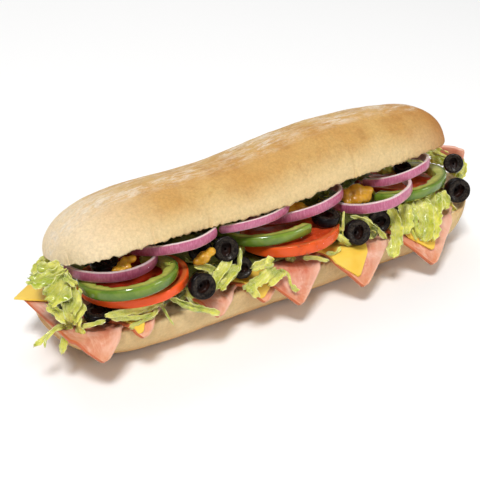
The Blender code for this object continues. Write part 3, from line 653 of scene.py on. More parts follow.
def stripPoint(u, v):
    start, end = Vector(endHam["start"]), Vector(endHam["end"])
    run = end - start
    side = Vector((-run.y, run.x)).normalized()
    middle = start + run * u + side * math.sin(math.pi * u) * 1.2
    a = 2 * math.pi * v
    full = min(1.0, u * 12, (1 - u) * 12) ** 0.5
    tall = endHam["high"] - endHam["low"]
    z = endHam["low"] + tall * (0.5 - 0.5 * math.cos(a)) - 1.8 * u ** 3 + 0.5 * wave(u * 4, 1.0)
    out = 1.8 * math.copysign(abs(math.sin(a)) ** 0.6, math.sin(a)) * full
    place = middle + side * (out + 0.5 * wave(u * 5, 3.0))
    return (place.x, place.y, z if full > 0.01 else endHam["low"] + tall / 2)


def endCheesePoint(u, v):
    tip, right, backRight, backLeft = [Vector(corner) for corner in endCheese["corners"]]
    if v < 0.42:
        share, level, out = v / 0.42, 0.0, 0.0
    elif v < 0.5:
        share, level, out = 1.0, (v - 0.42) / 0.08, 0.2
    elif v < 0.92:
        share, level, out = 1 - (v - 0.5) / 0.42, 1.0, 0.0
    else:
        share, level, out = 0.0, 1 - (v - 0.92) / 0.08, 0.2
    near = tip.lerp(right, share)
    far = backLeft.lerp(backRight, share)
    spot = near.lerp(far, u)
    full = min(1.0, u * 30, (1 - u) * 30)
    lift = 0.4 + 0.4 * wave(spot.x / 12, spot.y / 12, 1.0)
    rise = layers["lean"] * (endCheese["leanFrom"] - spot.x) + lift
    level = 0.5 + (level - 0.5) * full
    return hang(spot.x, layers["edgeY"] - spot.y, rise + layers["cheese"] * level)


def makeSlices():
    ham = hamFinish()
    cheese = cheeseFinish()
    for node, card in hamCards.items():
        piece = shapedGrid(node + "_slice", 60, 120, lambda u, v: cardPoint(card, layers["ham"], True, u, v))
        dress(piece, [ham], "ham", node)
    for node, card in cheeseCards.items():
        piece = shapedGrid(node + "_slice", 60, 100, lambda u, v: cardPoint(card, layers["cheese"], False, u, v))
        dress(piece, [cheese], "cheese", node)
    piece = shapedGrid("cheese_1_slice", 40, 80, endCheesePoint)
    dress(piece, [cheese], "cheese", "cheese_1")
    piece = shapedGrid("ham_8_strip", 40, 40, stripPoint)
    dress(piece, [ham], "ham", "ham_8")


makeSlices()
print("stage: ham and cheese")


# ---- tomato, pepper and onion

# centre, radius, height, tilt, lean, oval, way, wall, start, sweep, lobes
tomatoes = {
    "tomato_1": ((-103.0, -15.7, 44.4), 30.9, 5.4, 0.7, 2.0, -0.020, -0.04),
    "tomato_2": ((-0.4, -21.0, 43.8), 29.9, 6.2, -2.5, 1.6, 0.030, 0.37),
    "tomato_3": ((110.0, 4.5, 45.2), 29.5, 5.4, 0.0, 0.0, 0.0, 0.0),
}
peppers = {
    "pepper_1": ((-110.2, -22.7, 51.2), 27.4, 6.0, -1.6, 1.8, -0.023, 0.13, 5.5, 130, 265, 0.02),
    "pepper_2": ((-10.6, -11.0, 51.3), 32.4, 6.0, -1.2, 0.6, 0.020, 0.0, 5.5, 130, 165, 0.02),
    "pepper_3": ((93.0, -12.5, 52.2), 31.0, 6.2, 0.0, 2.5, 0.060, 0.22, 6.5, 185, 245, 0.02),
}
onions = {
    "onion_1": ((-111.1, -5.7, 58.5), 27.9, 5.8, 2.5, -1.0, -0.080, -0.24, 1.9, 155, 225, 0.0),
    "onion_2": ((-75.1, -9.5, 63.9), 28.2, 5.6, -1.8, 3.1, -0.038, -0.14, 1.9, 165, 153, 0.0),
    "onion_3": ((-30.2, -9.4, 63.6), 29.2, 4.8, -2.6, 1.9, 0.061, -0.11, 1.9, 225, 150, 0.0),
    "onion_4": ((11.0, -6.8, 59.3), 30.1, 6.0, -3.4, 6.5, 0.053, -0.23, 1.9, 170, 205, 0.0),
    "onion_5": ((60.8, -20.8, 55.6), 27.2, 6.0, -2.1, 8.0, -0.050, -0.49, 2.2, 190, 190, 0.0),
    "onion_6": ((85.9, -13.2, 64.0), 24.6, 5.6, -5.0, 8.0, 0.070, 0.49, 2.2, 150, 230, 0.0),
}


def layerPoint(piece, turn, inset, rise, lobes=0.0):
    centre, radius, height, tilt, lean, oval, way = piece[:7]
    out = radius * (1 + lobes * math.cos(3 * turn + 1.1)) - inset
    x = out * math.cos(turn) * (1 + oval)
    y = out * math.sin(turn) * (1 - oval)
    c, s = math.cos(way), math.sin(way)
    return press(*tiltPoint((x * c - y * s, x * s + y * c, rise), tilt, lean, centre))


def tomatoPoint(piece, u, v):
    turn = 2 * math.pi * u
    radius, half = piece[1], piece[2] / 2
    seed = piece[0][0]
    ring = Vector((math.cos(turn), math.sin(turn), 0))
    if 0.4 <= v <= 0.6:
        a = math.pi * (v - 0.4) / 0.2
        inset = 1.2 - 1.2 * math.sin(a) ** 0.7
        rise = half * math.copysign(abs(math.cos(a)) ** 0.6, math.cos(a))
        inset -= 0.25 * wave(ring.x * 4 + seed, ring.y * 4, 1.0)
    else:
        share = (v / 0.4 if v < 0.4 else (1 - v) / 0.4)
        share = share ** 0.8
        inset = radius - share * (radius - 1.2)
        side = 1 if v < 0.4 else -1
        spot = ring * share
        cavity = max(0.0, math.sin(5 * turn + seed)) * math.exp(-((share - 0.62) / 0.2) ** 2)
        fall = 0.9 * cavity + 0.3 * (1 + wave(spot.x * 7 + seed, spot.y * 7, side))
        fall *= min(1.0, (1 - share) * 9)
        rise = side * (half - fall)
    return layerPoint(piece, turn, inset, rise)


def endTaper(u, length):
    return min(1.0, math.sqrt(max(0.0, min(u, 1 - u) / length)))


def pepperPoint(piece, u, v):
    wall, start, sweep, lobes = piece[7:]
    wall += 1.3
    turn = math.radians(start + sweep * u)
    half = piece[2] / 2
    seed = piece[0][0] * 0.1
    inner = wall * (1.0 + 0.22 * wave(u * 14, seed) + 0.10 * wave(u * 40, seed))
    if v < 0.38:
        a = v / 0.38
        inset, rise = 0.9 * (2 * a - 1) ** 4, 1 - 2 * a
    elif v < 0.46:
        a = (v - 0.38) / 0.08
        inset, rise = 0.9 + (inner - 1.4) * a, -1.0
    elif v < 0.86:
        a = (v - 0.46) / 0.40
        inset, rise = inner - 0.5 * (2 * a - 1) ** 2 + 0.3 * wave(u * 30, a * 3, seed), -1 + 2 * a
    else:
        a = (v - 0.86) / 0.14
        inset = inner - 0.5 - (inner - 1.4) * a
        rise = 1.0 + 0.08 * math.sin(math.pi * a) + 0.05 * wave(u * 50, a * 2, seed)
    full = endTaper(u, 0.025)
    inset = wall / 2 + (inset - wall / 2) * full
    return layerPoint(piece, turn, inset, rise * half * full * (1 + 0.05 * wave(u * 9, seed)), lobes)


def onionPoint(piece, u, v):
    wall, start, sweep, lobes = piece[7:]
    turn = math.radians(start + sweep * u)
    half = piece[2] / 2
    seed = piece[0][0] * 0.1
    if v < 0.38:
        a = v / 0.38
        inset, rise = -0.45 * math.sin(math.pi * a), 1 - 2 * a
    elif v < 0.46:
        a = (v - 0.38) / 0.08
        inset, rise = wall * a, -1 - 0.10 * math.sin(math.pi * a)
    elif v < 0.88:
        a = (v - 0.46) / 0.42
        inset, rise = wall - 0.35 * math.sin(math.pi * a), -1 + 2 * a
    else:
        a = (v - 0.88) / 0.12
        inset, rise = wall * (1 - a), 1 + 0.12 * math.sin(math.pi * a)
    full = endTaper(u, 0.02)
    inset = wall / 2 + (inset - wall / 2) * full
    inset -= 0.5 * wave(u * 5, seed) + 0.12 * wave(u * 26, seed)
    lift = 0.30 * wave(u * 7, seed + 9) + 0.06 * wave(u * 60, seed)
    return layerPoint(piece, turn, inset, rise * half * full + lift * full, lobes)


def makeLayers():
    # tomato_1 has a lit and shaded copy of the tomato finish: a brighter skin that offsets the pepper's shadow on it
    # (painted light), and darker flesh as painted shade inside the pepper ring
    looks = {"tomato_1": tomatoFinish("tomatoOne", (0.80, 0.085, 0.008), (0.28, 0.018, 0.005)),
             "tomato_2": tomatoFinish("tomatoTwo", (0.74, 0.090, 0.009), (0.50, 0.050, 0.012)),
             "tomato_3": tomatoFinish("tomatoThree", (0.62, 0.055, 0.008), (0.50, 0.050, 0.012))}
    for node, look in tomatoes.items():
        piece = shapedGrid(node + "_slice", 120, 80, lambda u, v: tomatoPoint(look, u, v))
        dress(piece, [looks[node]], "tomato", node)
    green = pepperFinish()
    for node, look in peppers.items():
        piece = shapedGrid(node + "_ring", 150, 56, lambda u, v: pepperPoint(look, u, v))
        dress(piece, [green], "pepper", node)
    purple = onionFinish("onionPurple", (0.17, 0.022, 0.058), (0.31, 0.058, 0.115), (0.50, 0.16, 0.25), (0.66, 0.51, 0.49))
    pink = onionFinish("onionPink", (0.30, 0.045, 0.110), (0.47, 0.100, 0.200), (0.70, 0.31, 0.42), (0.88, 0.72, 0.70))
    for node, look in onions.items():
        piece = shapedGrid(node + "_ring", 170, 44, lambda u, v: onionPoint(look, u, v))
        dress(piece, [purple if node == "onion_1" else pink], "onion", node)


makeLayers()
print("stage: tomato, pepper and onion")


# ---- olives and mustard

# centre, radius, height, the way the ring faces
olives = {
    "olive_1": ((-131.5, -28.6, 36.1), 7.6, 4.6, (0.05, -0.10, 1.0)),
    "olive_2": ((-116.5, -9.5, 53.4), 7.8, 5.0, (0.1, -0.25, 1.0)),
    "olive_3": ((-54.0, -33.5, 53.0), 7.2, 6.0, (-0.38, -0.80, 0.45)),
    "olive_4": ((-78.4, -46.8, 43.9), 7.5, 5.6, (-0.15, -0.85, 0.30)),
    "olive_5": ((-46.5, -37.5, 41.0), 6.4, 5.6, (-0.30, -0.85, 0.40)),
    "olive_6": ((17.5, -32.5, 52.2), 8.4, 5.0, (0.03, -0.08, 1.0)),
    "olive_7": ((33.5, -42.5, 41.8), 7.9, 6.4, (-0.28, -0.85, 0.45)),
    "olive_8": ((57.5, -35.2, 39.6), 7.0, 5.6, (-0.50, -0.75, 0.35)),
    "olive_9": ((104.0, -4.5, 52.4), 6.0, 4.0, (-0.1, -0.2, 1.0)),
    "olive_10": ((140.0, -14.8, 50.6), 6.6, 5.4, (-0.62, -0.60, 0.45)),
    "olive_11": ((127.6, -31.6, 40.8), 8.1, 7.2, (-0.35, -0.85, 0.25)),
    "olive_12": ((-63.0, -21.5, 50.0), 6.8, 5.2, (-0.45, -0.75, 0.40)),
}
oliveHole = 0.45
# these olives get a floor in their hole, a dark sheet of painted shade
olivesWithShadeFloor = ("olive_3", "olive_4", "olive_5", "olive_7", "olive_8", "olive_10", "olive_11", "olive_12")
# middle, lobes (x, y, z, radius, how flat), seed
mustards = {
    "mustard_1": ((-114, -25.5, 57.5), ((-111.5, -25, 59.5, 2.7, 0.9), (-109, -27, 60.8, 2.3, 0.9), (-113.5, -24, 57.5, 2.3, 0.9),
                  (-117.5, -24.5, 56, 2.0, 0.85), (-114.5, -26.5, 56, 2.1, 0.8), (-111.5, -27.5, 57, 1.8, 0.8)), 0.4),
    "mustard_2": ((-68.5, -34.5, 53), ((-72.5, -33.5, 51, 2.4, 1.0), (-69, -34.5, 53, 3.4, 1.0), (-65, -35.5, 55.5, 2.5, 1.0),
                  (-70.5, -35.5, 51, 2.0, 0.9)), 1.3),
    "mustard_3": ((4.5, -20, 54.6), ((1.5, -18.5, 55, 5.0, 0.95), (6.5, -20.5, 55.5, 4.6, 0.95), (10.5, -22.5, 54.5, 3.0, 0.9),
                  (-1.5, -18.5, 53, 3.4, 0.9)), 2.2),
    "mustard_4": ((50.5, -21.5, 53.6), ((44.5, -19, 54.5, 4.2, 0.95), (51, -20.5, 56, 5.0, 0.9), (57, -23.5, 55.5, 3.6, 0.9),
                  (48.5, -23.5, 52.5, 4.4, 0.9), (54.5, -24.5, 52.5, 4.0, 0.85), (43, -22.5, 51.5, 2.4, 0.9)), 3.1),
}


def olivePoint(look, closed, seed, u, v):
    # closed: the hole has a floor, a dark sheet put in as painted shade so the hole reads dark
    centre, radius, height, way = look
    axis = Vector(way).normalized()
    across = axis.cross(Vector((0, 0, 1)))
    if across.length < 0.3:
        across = axis.cross(Vector((0, 1, 0)))
    across.normalize()
    up = axis.cross(across)
    turn = 2 * math.pi * u
    spoke = across * math.cos(turn) + up * math.sin(turn)
    half = height / 2
    c, s = math.cos(turn), math.sin(turn)
    hole = radius * oliveHole * (1 + 0.16 * math.cos(2 * turn + seed) + 0.14 * wave(c * 2, s * 2, seed))
    edge = radius * (1 + 0.02 * wave(c * 2, s * 2, seed + 4))
    floor = -half * 0.45
    if v < 0.30:
        a = v / 0.30
        out = edge - edge * 0.07 * (2 * a - 1) ** 2
        rise = half * (1 - 2 * a)
    elif v < 0.48:
        a = (v - 0.30) / 0.18
        inner = 0.0 if closed else hole
        out = edge * 0.93 + (inner - edge * 0.93) * a
        rise = -half - 0.3 * math.sin(math.pi * min(a * 1.6, 1.0)) + (0.0 if closed else 0.35 * a)
    elif v < 0.56:
        a = (v - 0.48) / 0.08
        out = hole * a if closed else hole
        rise = floor if closed else -half * 0.86 + (floor + half * 0.86) * a
    elif v < 0.80:
        a = (v - 0.56) / 0.24
        out = hole + 0.4 * math.sin(math.pi * a)
        rise = floor + (half * 0.88 - floor) * a
    else:
        a = (v - 0.80) / 0.20
        out = hole + (edge * 0.93 - hole) * a
        rise = half + 0.3 * math.sin(math.pi * min((1 - a) * 1.6, 1.0)) - 0.35 * (1 - a)
    if out > 0.01:
        rise += 0.16 * wave(c * 3, s * 3, out * 0.4 + seed)
    spot = Vector(centre) + spoke * out + axis * rise
    return (spot.x, spot.y, spot.z)


def makeDollop(node, look, amber):
    # lobes of mustard that have run together
    centre, lobes, seed = look
    drops = []
    for x, y, z, radius, flat in lobes:
        deselect()
        bpy.ops.mesh.primitive_uv_sphere_add(segments=24, ring_count=16, radius=radius * mm,
                                             location=toFrame((x, y, z)))
        drop = bpy.context.object
        bpy.ops.transform.resize(value=(1.15, 1.0, flat))
        bpy.ops.object.transform_apply(location=True, rotation=True, scale=True)
        drops.append(drop)
    piece = joinAll(drops, node + "_dollop")
    addModifier(piece, "REMESH", mode="VOXEL", voxel_size=0.42 * mm)
    addModifier(piece, "SMOOTH", factor=0.6, iterations=12)
    applyAll(piece)
    for corner in piece.data.vertices:
        spot = corner.co / mm
        lift = 0.28 * wave(spot.x / 2.6 + seed, spot.y / 2.6, spot.z / 2.6) + 0.18 * wave(spot.x, spot.y, spot.z + seed)
        corner.co += (spot - toFrame(centre) / mm).normalized() * lift * mm
    bpy.ops.object.shade_smooth()
    if not piece.data.uv_layers:
        piece.data.uv_layers.new(name="UVMap")
    dress(piece, [amber], "mustard", node)


def makeOlives():
    black = oliveFinish()
    for number, (node, look) in enumerate(olives.items()):
        closed = node in olivesWithShadeFloor
        piece = shapedGrid(node + "_ring", 48, 50, lambda u, v: olivePoint(look, closed, number * 1.7, u, v))
        dress(piece, [black], "olive", node)
    amber = mustardFinish()
    for node, look in mustards.items():
        makeDollop(node, look, amber)


makeOlives()
print("stage: olives and mustard")


# ---- lettuce

lettuce = {
    "deep": (0.34, 0.42, 0.025), "bright": (0.86, 0.83, 0.13), "rib": (0.92, 0.90, 0.52),
    "thick": 0.45, "kinds": 7, "bedShreds": 170, "backShreds": 270, "seed": 11,
    "facing": (-0.50, -0.74, 0.44),
}
# node, how many loose shreds lie on its core, how long they are, how far the core draws in
lettuceHeaps = {
    "lettuce_1": (10, 0.34, 3.4), "lettuce_2": (5, 0.4, 1.6), "lettuce_3": (3, 0.35, 1.4), "lettuce_4": (9, 0.45, 1.6),
    "lettuce_5": (16, 0.42, 2.0), "lettuce_6": (8, 0.45, 1.6),
}
# width, then the middle line from one end to the other
leafStrips = {
    "lettuce_1": (
        (5.6, ((-147.5, -22.5, 68), (-152, -19, 66), (-157, -15.5, 65.5))),
        (8.2, ((-147.5, -27.5, 67), (-153.5, -23.5, 63), (-159, -20, 61), (-162.5, -17, 62))),
        (10.8, ((-147, -28, 65.5), (-149.5, -26, 59), (-153.5, -23.5, 53), (-156.5, -21.5, 50.5))),
        (9.7, ((-146.5, -28.5, 57.5), (-150.5, -25.5, 52), (-155.5, -22, 48))),
        (5.8, ((-156, -22, 46), (-152.5, -24.5, 42.5), (-149, -28, 37))),
        (8.2, ((-143.5, -30.5, 56), (-145, -30.5, 48), (-147.5, -27.5, 42.5))),
        (6.9, ((-141.5, -32, 47.5), (-144.5, -31, 42), (-146.5, -28.5, 36))),
        (5.6, ((-148, -27, 47.5), (-147.5, -28.5, 42), (-145.5, -29, 36))),
        (4.3, ((-149, -26.5, 64.5), (-146.5, -29.5, 61.5), (-143.5, -30.5, 58))),
        (5.8, ((-144, -30, 41), (-144.5, -31.5, 34.5), (-143.5, -32.5, 28.5))),
        (2.9, ((-143, -31, 33.5), (-138.5, -35.5, 35.5), (-133, -39, 37.5))),
        (5.4, ((-147, -20, 62), (-151, -16, 57), (-151, -15, 51))),
    ),
    "lettuce_5": (
        (6, ((-143, 8, 55), (-147, 9, 51), (-148.5, 8, 45))),
        (6, ((-139, 12, 54), (-143, 14, 50), (-144, 13, 44))),
        (5, ((-147, 0, 54), (-149.5, 1, 50), (-149.5, 1, 46))),
    ),
    "lettuce_11": (
        (3, ((-137, -25, 32.5), (-144.5, -25, 33), (-153.5, -24, 32.5), (-161.5, -25, 29.5), (-167, -25.5, 28))),
        (1.5, ((-157, -24, 31.5), (-160.5, -25.5, 28.5), (-162, -27, 26))),
        (5.7, ((-145, -22.5, 34), (-149, -25.5, 30), (-152, -28, 25), (-154, -30.5, 21))),
        (3.6, ((-140.5, -22, 33), (-144.5, -26.5, 28), (-148.5, -28.5, 24.5))),
    ),
    "lettuce_bed": (
        (3.9, ((-132.5, -39.5, 40.5), (-121, -41, 39.5), (-111, -41.5, 38), (-99.5, -41, 38.5))),
        (3, ((-130, -40.5, 38.5), (-120.5, -42.5, 36.5), (-108.5, -43.5, 34.5), (-103.5, -42.5, 36))),
        (2.7, ((-121, -44, 31.5), (-114, -43.5, 32.5), (-105.5, -43, 33))),
        (1.3, ((-101.5, -39, 37.5), (-99.5, -41.5, 34.5), (-98.5, -44.5, 30.5), (-97, -47.5, 26.5))),
        (3.4, ((-98, -38, 40), (-92, -39, 41.5), (-85, -39, 41))),
        (3, ((8, -45.5, 37), (15, -45.5, 35), (20, -44, 36.5))),
    ),
    "lettuce_7": (
        (4.2, ((-95.5, -42, 40), (-89.5, -45, 36.5), (-84.5, -47, 33.5), (-78.5, -49, 30.5), (-70.5, -51.5, 26.5))),
        (2.7, ((-92.5, -43.5, 38.5), (-88.5, -46.5, 34), (-81, -49.5, 30.5))),
    ),
    "lettuce_2": (
        (5.5, ((-74.5, -34, 49.5), (-68.5, -36, 47.5), (-64.5, -37.5, 44))),
        (3.1, ((-46.5, -36, 52.5), (-49, -39.5, 47), (-52, -41.5, 42.5), (-58, -43.5, 39))),
        (6.2, ((-54, -37.5, 49), (-61.5, -40, 45), (-67, -42, 41.5), (-70, -43, 37.5))),
        (6.2, ((-51, -40.5, 45.5), (-57, -42.5, 42.5), (-62, -43.5, 39.5), (-65, -44.5, 36.5))),
        (4.1, ((-58, -43, 39.5), (-65, -44, 39), (-70.5, -43, 37.5))),
    ),
    "lettuce_8": (
        (6.8, ((-43.5, -43.5, 42.5), (-36, -44, 43), (-28.5, -43.5, 42))),
        (7.1, ((-29, -45.5, 39), (-38.5, -48, 37), (-46, -49, 35.5), (-51.5, -49.5, 33.5))),
        (5.2, ((-47, -48.5, 36.5), (-48, -50.5, 33), (-46, -52.5, 29))),
        (6, ((-25, -47.5, 36.5), (-30.5, -49, 35), (-36.5, -50, 33))),
        (1.8, ((-26, -46.5, 37.5), (-22.5, -49.5, 34), (-23, -52.5, 29.5), (-21, -54, 26.5))),
        (3.2, ((-22.5, -53, 28.5), (-21, -54.5, 26.5), (-19.5, -54.5, 25))),
    ),
    "lettuce_3": (
        (3.4, ((30.5, -40, 52.5), (38.5, -41.5, 48.5), (46.5, -43, 42), (51.5, -43.5, 37), (56, -44, 31.5))),
        (4.5, ((19, -41.5, 43.5), (23.5, -43, 39.5), (28, -43.5, 35.5))),
        (1.6, ((25.5, -39, 56), (23.5, -41, 50.5), (23.5, -41.5, 45.5))),
        (2.8, ((-7.5, -43.5, 37.5), (0.5, -45, 36), (8, -47.5, 32.5))),
        (4.6, ((41, -39, 47), (45, -41, 43), (47, -42.5, 38))),
    ),
    "lettuce_9": (
        (8.6, ((63.5, -37.5, 48), (64, -43, 40), (62, -47, 33.5), (57.5, -50, 28.5), (53.5, -52, 23.5))),
        (9.4, ((75, -38, 47.5), (73.5, -41.5, 42.5), (72, -44.5, 37), (67, -46, 33.5))),
        (5.1, ((67.5, -44, 37), (62.5, -48, 31.5), (62.5, -50, 27.5))),
    ),
    "lettuce_10": (
        (5.7, ((81, -38.5, 46.5), (78.5, -43, 39.5), (77.5, -46.5, 34), (78, -50, 28.5))),
        (11.3, ((89.5, -38, 47), (88, -43.5, 40), (85, -48, 32), (81, -51.5, 26))),
        (9.7, ((100, -38, 47.5), (97.5, -43, 40.5), (92.5, -47.5, 34), (86.5, -52, 25.5))),
        (1.6, ((74.5, -42.5, 40), (74, -47, 34), (75, -50.5, 28))),
        (4.1, ((103.5, -38, 47.5), (103.5, -41.5, 42.5), (102.5, -43.5, 38.5))),
        (6.8, ((108, -36, 46), (110, -38.5, 41), (108, -40, 36.5))),
    ),
    "lettuce_4": (
        (7.5, ((151, -2, 51), (155.5, -5, 46.5), (157.5, -7, 40), (156, -7, 33))),
        (5, ((150.5, -5, 36), (153, -6.5, 33.5), (155.5, -8, 36.5), (156.5, -8.5, 43))),
        (5, ((134, 4, 58), (140.5, 1, 54.5), (147, -3, 50.5))),
        (4.4, ((139.5, 4.5, 54), (144, 1.5, 51), (150.5, -3, 49))),
        (6, ((136, 2, 50), (143, -3, 47), (149, -8, 43))),
        (6, ((140, 12, 52), (147, 10, 48), (152, 6, 43))),
        (10, ((124, 8, 47), (134, 12, 45), (144, 14, 39))),
        (10, ((122, 16, 50), (132, 19, 46), (139, 20, 39))),
        (9, ((112, 22, 53), (124, 24, 48), (132, 25, 41))),
    ),
    "lettuce_6": (
        (5.4, ((120.5, -29.5, 35), (124, -31.5, 29.5), (127, -33, 24), (124.5, -34, 20))),
        (4.2, ((116, -30, 33.5), (119, -32, 27.5), (121, -33, 22.5))),
        (5, ((134, -22, 40), (139, -23, 38.5), (141, -22, 34))),
    ),
}


def shredKind(number, green):
    # a torn strip of leaf, bent along its length and frilled along its sides
    chance = random.Random(lettuce["seed"] + number)
    length = chance.uniform(16, 27)
    width = chance.uniform(5.0, 9.5)
    bend = chance.uniform(0.5, 1.7) * chance.choice((-1, 1))
    cup = chance.uniform(0.5, 1.6)
    frill = chance.uniform(0.8, 1.5)
    turns = chance.uniform(1.5, 3.0)
    phase = chance.uniform(0, 6)

    def place(u, v):
        s = v - 0.5
        a = bend * s
        along = length * (math.sin(a) / bend)
        up = length * (1 - math.cos(a)) / bend
        half = width / 2 * (math.sin(math.pi * (0.08 + 0.84 * v)) ** 0.5) * (1 + 0.25 * wave(v * 4, number))
        t = 2 * u - 1
        ragged = 1 + 0.16 * wave(v * 9, t * 2, number)
        side = half * t * ragged
        up += cup * (t * t - 0.4) + frill * abs(t) ** 1.5 * math.sin(turns * 2 * math.pi * v + phase + 1.6 * t)
        up += 0.4 * wave(v * 5, t * 2.5, number + 3)
        return (along - rollX / mm, side - rollY / mm, up)

    piece = shapedGrid("shred", 8, 18, place)
    addModifier(piece, "SOLIDIFY", thickness=lettuce["thick"] * mm, offset=0.0)
    applyAll(piece)
    bpy.ops.object.shade_smooth()
    piece.data.materials.append(green)
    return piece


def alongPath(path, share):   # a smooth line through the points, and its direction
    points = [Vector(point) for point in path]
    points = [points[0] * 2 - points[1]] + points + [points[-1] * 2 - points[-2]]
    spans = len(points) - 3
    at = min(max(share, 0.0), 0.9999) * spans
    index = int(at)
    t = at - index
    a, b, c, d = points[index:index + 4]
    spot = (b * 2 + (c - a) * t + (a * 2 - b * 5 + c * 4 - d) * t * t + (b * 3 - a - c * 3 + d) * t ** 3) / 2
    way = ((c - a) + (a * 2 - b * 5 + c * 4 - d) * 2 * t + (b * 3 - a - c * 3 + d) * 3 * t * t) / 2
    return spot, way.normalized()


def stripPiece(name, width, path, number, green):
    # a torn leaf laid along a line, its face to the open side, frilled and ribbed
    chance = random.Random(number * 7 + 3)
    facing = Vector(lettuce["facing"]) + Vector([chance.uniform(-0.35, 0.35) for axis in range(3)])
    length = sum((Vector(b) - Vector(a)).length for a, b in zip(path, path[1:]))
    cup = chance.uniform(0.04, 0.16) * chance.choice((-1, 1))
    frill = 0.07 * width + 0.3
    turns = length / chance.uniform(6.0, 9.0)
    phase = chance.uniform(0, 6)
    folds = chance.uniform(0.7, 1.3)
    across = max(6, int(width / 0.55))
    along = max(12, int(length / 0.8))

    def place(u, v):
        t = 2 * u - 1
        spot, way = alongPath(path, v)
        side = way.cross(facing).normalized()
        out = side.cross(way).normalized()
        side = (side + out * 0.5 * math.sin(2.2 * v + phase)).normalized()
        ends = min(1.0, 0.50 + v * 6, 0.45 + (1 - v) * 5)
        half = width * 0.46 * ends * (1 + 0.25 * wave(v * length / 5, number))
        half *= 1 + 0.30 * wave(v * length / 1.4, t * 1.5, number)
        height = cup * width * (t * t - 0.4)
        height += frill * abs(t) ** 1.5 * math.sin(2 * math.pi * turns * v + phase + 1.4 * t)
        crease = math.sin(folds * 2.2 * t + phase + 2.2 * wave(v * length / 7, number + 5))
        height += 0.16 * width ** 0.6 * (1 - 2 * abs(crease))
        height += 0.35 * wave(spot.x / 3 + t, spot.z / 3, number)
        endPull = 2.2 * wave(t * 2.6, number, 4.0) * ((1 - v) ** 6 - v ** 6)
        return tuple(spot + side * half * t + out * height + way * endPull)

    piece = shapedGrid(name, across, along, place)
    addModifier(piece, "SOLIDIFY", thickness=0.3 * mm, offset=0.0)
    applyAll(piece)
    bpy.ops.object.shade_smooth()
    piece.data.materials.append(green)
    return piece


def surfaceSpots(target, count, chance, facing):
    spots = []
    weights = []
    for face in target.data.polygons:
        toward = max(face.normal.dot(facing), 0.0)
        weights.append(face.area * (toward ** 0.7 + 0.04))
    faces = chance.choices(list(target.data.polygons), weights=weights, k=count)
    for face in faces:
        corners = [target.data.vertices[index].co for index in face.vertices[:3]]
        a, b = sorted((chance.random(), chance.random()))
        spots.append((corners[0] * a + corners[1] * (b - a) + corners[2] * (1 - b), face.normal.copy()))
    return spots


def layShreds(kinds, target, count, size, chance, facing, sink):
    copies = []
    for spot, normal in surfaceSpots(target, count, chance, facing):
        tilt = Vector((chance.uniform(-1, 1), chance.uniform(-1, 1), chance.uniform(-1, 1))) * 0.55
        out = (normal + tilt).normalized()
        along = Vector((chance.uniform(-1, 1), chance.uniform(-0.6, 0.3), chance.uniform(-0.9, 0.5)))
        along = (along - out * along.dot(out)).normalized()
        side = out.cross(along)
        grow = size * chance.uniform(0.75, 1.15)
        kind = chance.choice(kinds)
        copy = kind.copy()
        copy.data = kind.data.copy()
        bpy.context.collection.objects.link(copy)
        turn = Matrix((along, side, out)).transposed().to_4x4()
        copy.data.transform(Matrix.Translation(spot - normal * sink * mm) @ turn @ Matrix.Scale(grow, 4))
        copies.append(copy)
    return copies


def heapCore(node, shrink, green):
    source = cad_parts[node]
    core = source.copy()
    core.data = source.data.copy()
    for key in list(core.keys()):
        del core[key]
    core.parent = None
    core.hide_render = False
    core.hide_viewport = False
    bpy.context.collection.objects.link(core)
    closeUp(core, 0.00001)
    texture = bpy.data.textures.new("crumple", "CLOUDS")
    texture.noise_scale = 0.007
    addModifier(core, "SUBSURF", levels=2, render_levels=2)
    addModifier(core, "DISPLACE", strength=-1.0 * shrink * mm, mid_level=0.0)
    addModifier(core, "DISPLACE", texture=texture, strength=2.2 * mm, mid_level=0.6, texture_coords="LOCAL")
    applyAll(core)
    if not core.data.uv_layers:
        core.data.uv_layers.new(name="UVMap")
    core.data.materials.clear()
    core.data.materials.append(green)
    return core


def looseShreds(kinds, count, chance):   # fills up to the crown along the closed side
    copies = []
    for number in range(count):
        x = chance.uniform(-128, 133)
        y = chance.uniform(12, 30)
        roof = roll["crownCentre"][2] + y * math.tan(math.radians(roll["crownTilt"])) + 0.028 * (x + 4.8)
        z = chance.uniform(40, roof - 2.5)
        kind = chance.choice(kinds)
        copy = kind.copy()
        copy.data = kind.data.copy()
        bpy.context.collection.objects.link(copy)
        spin = Matrix.Rotation(chance.uniform(0, 6.28), 4, "Z") @ Matrix.Rotation(chance.uniform(-1.1, 1.1), 4, "X")
        flat = Matrix.Diagonal((1.0, 1.0, 0.6, 1.0))
        copy.data.transform(Matrix.Translation(toFrame((x, y, z))) @ flat @ spin @ Matrix.Scale(0.58, 4))
        copies.append(copy)
    return copies


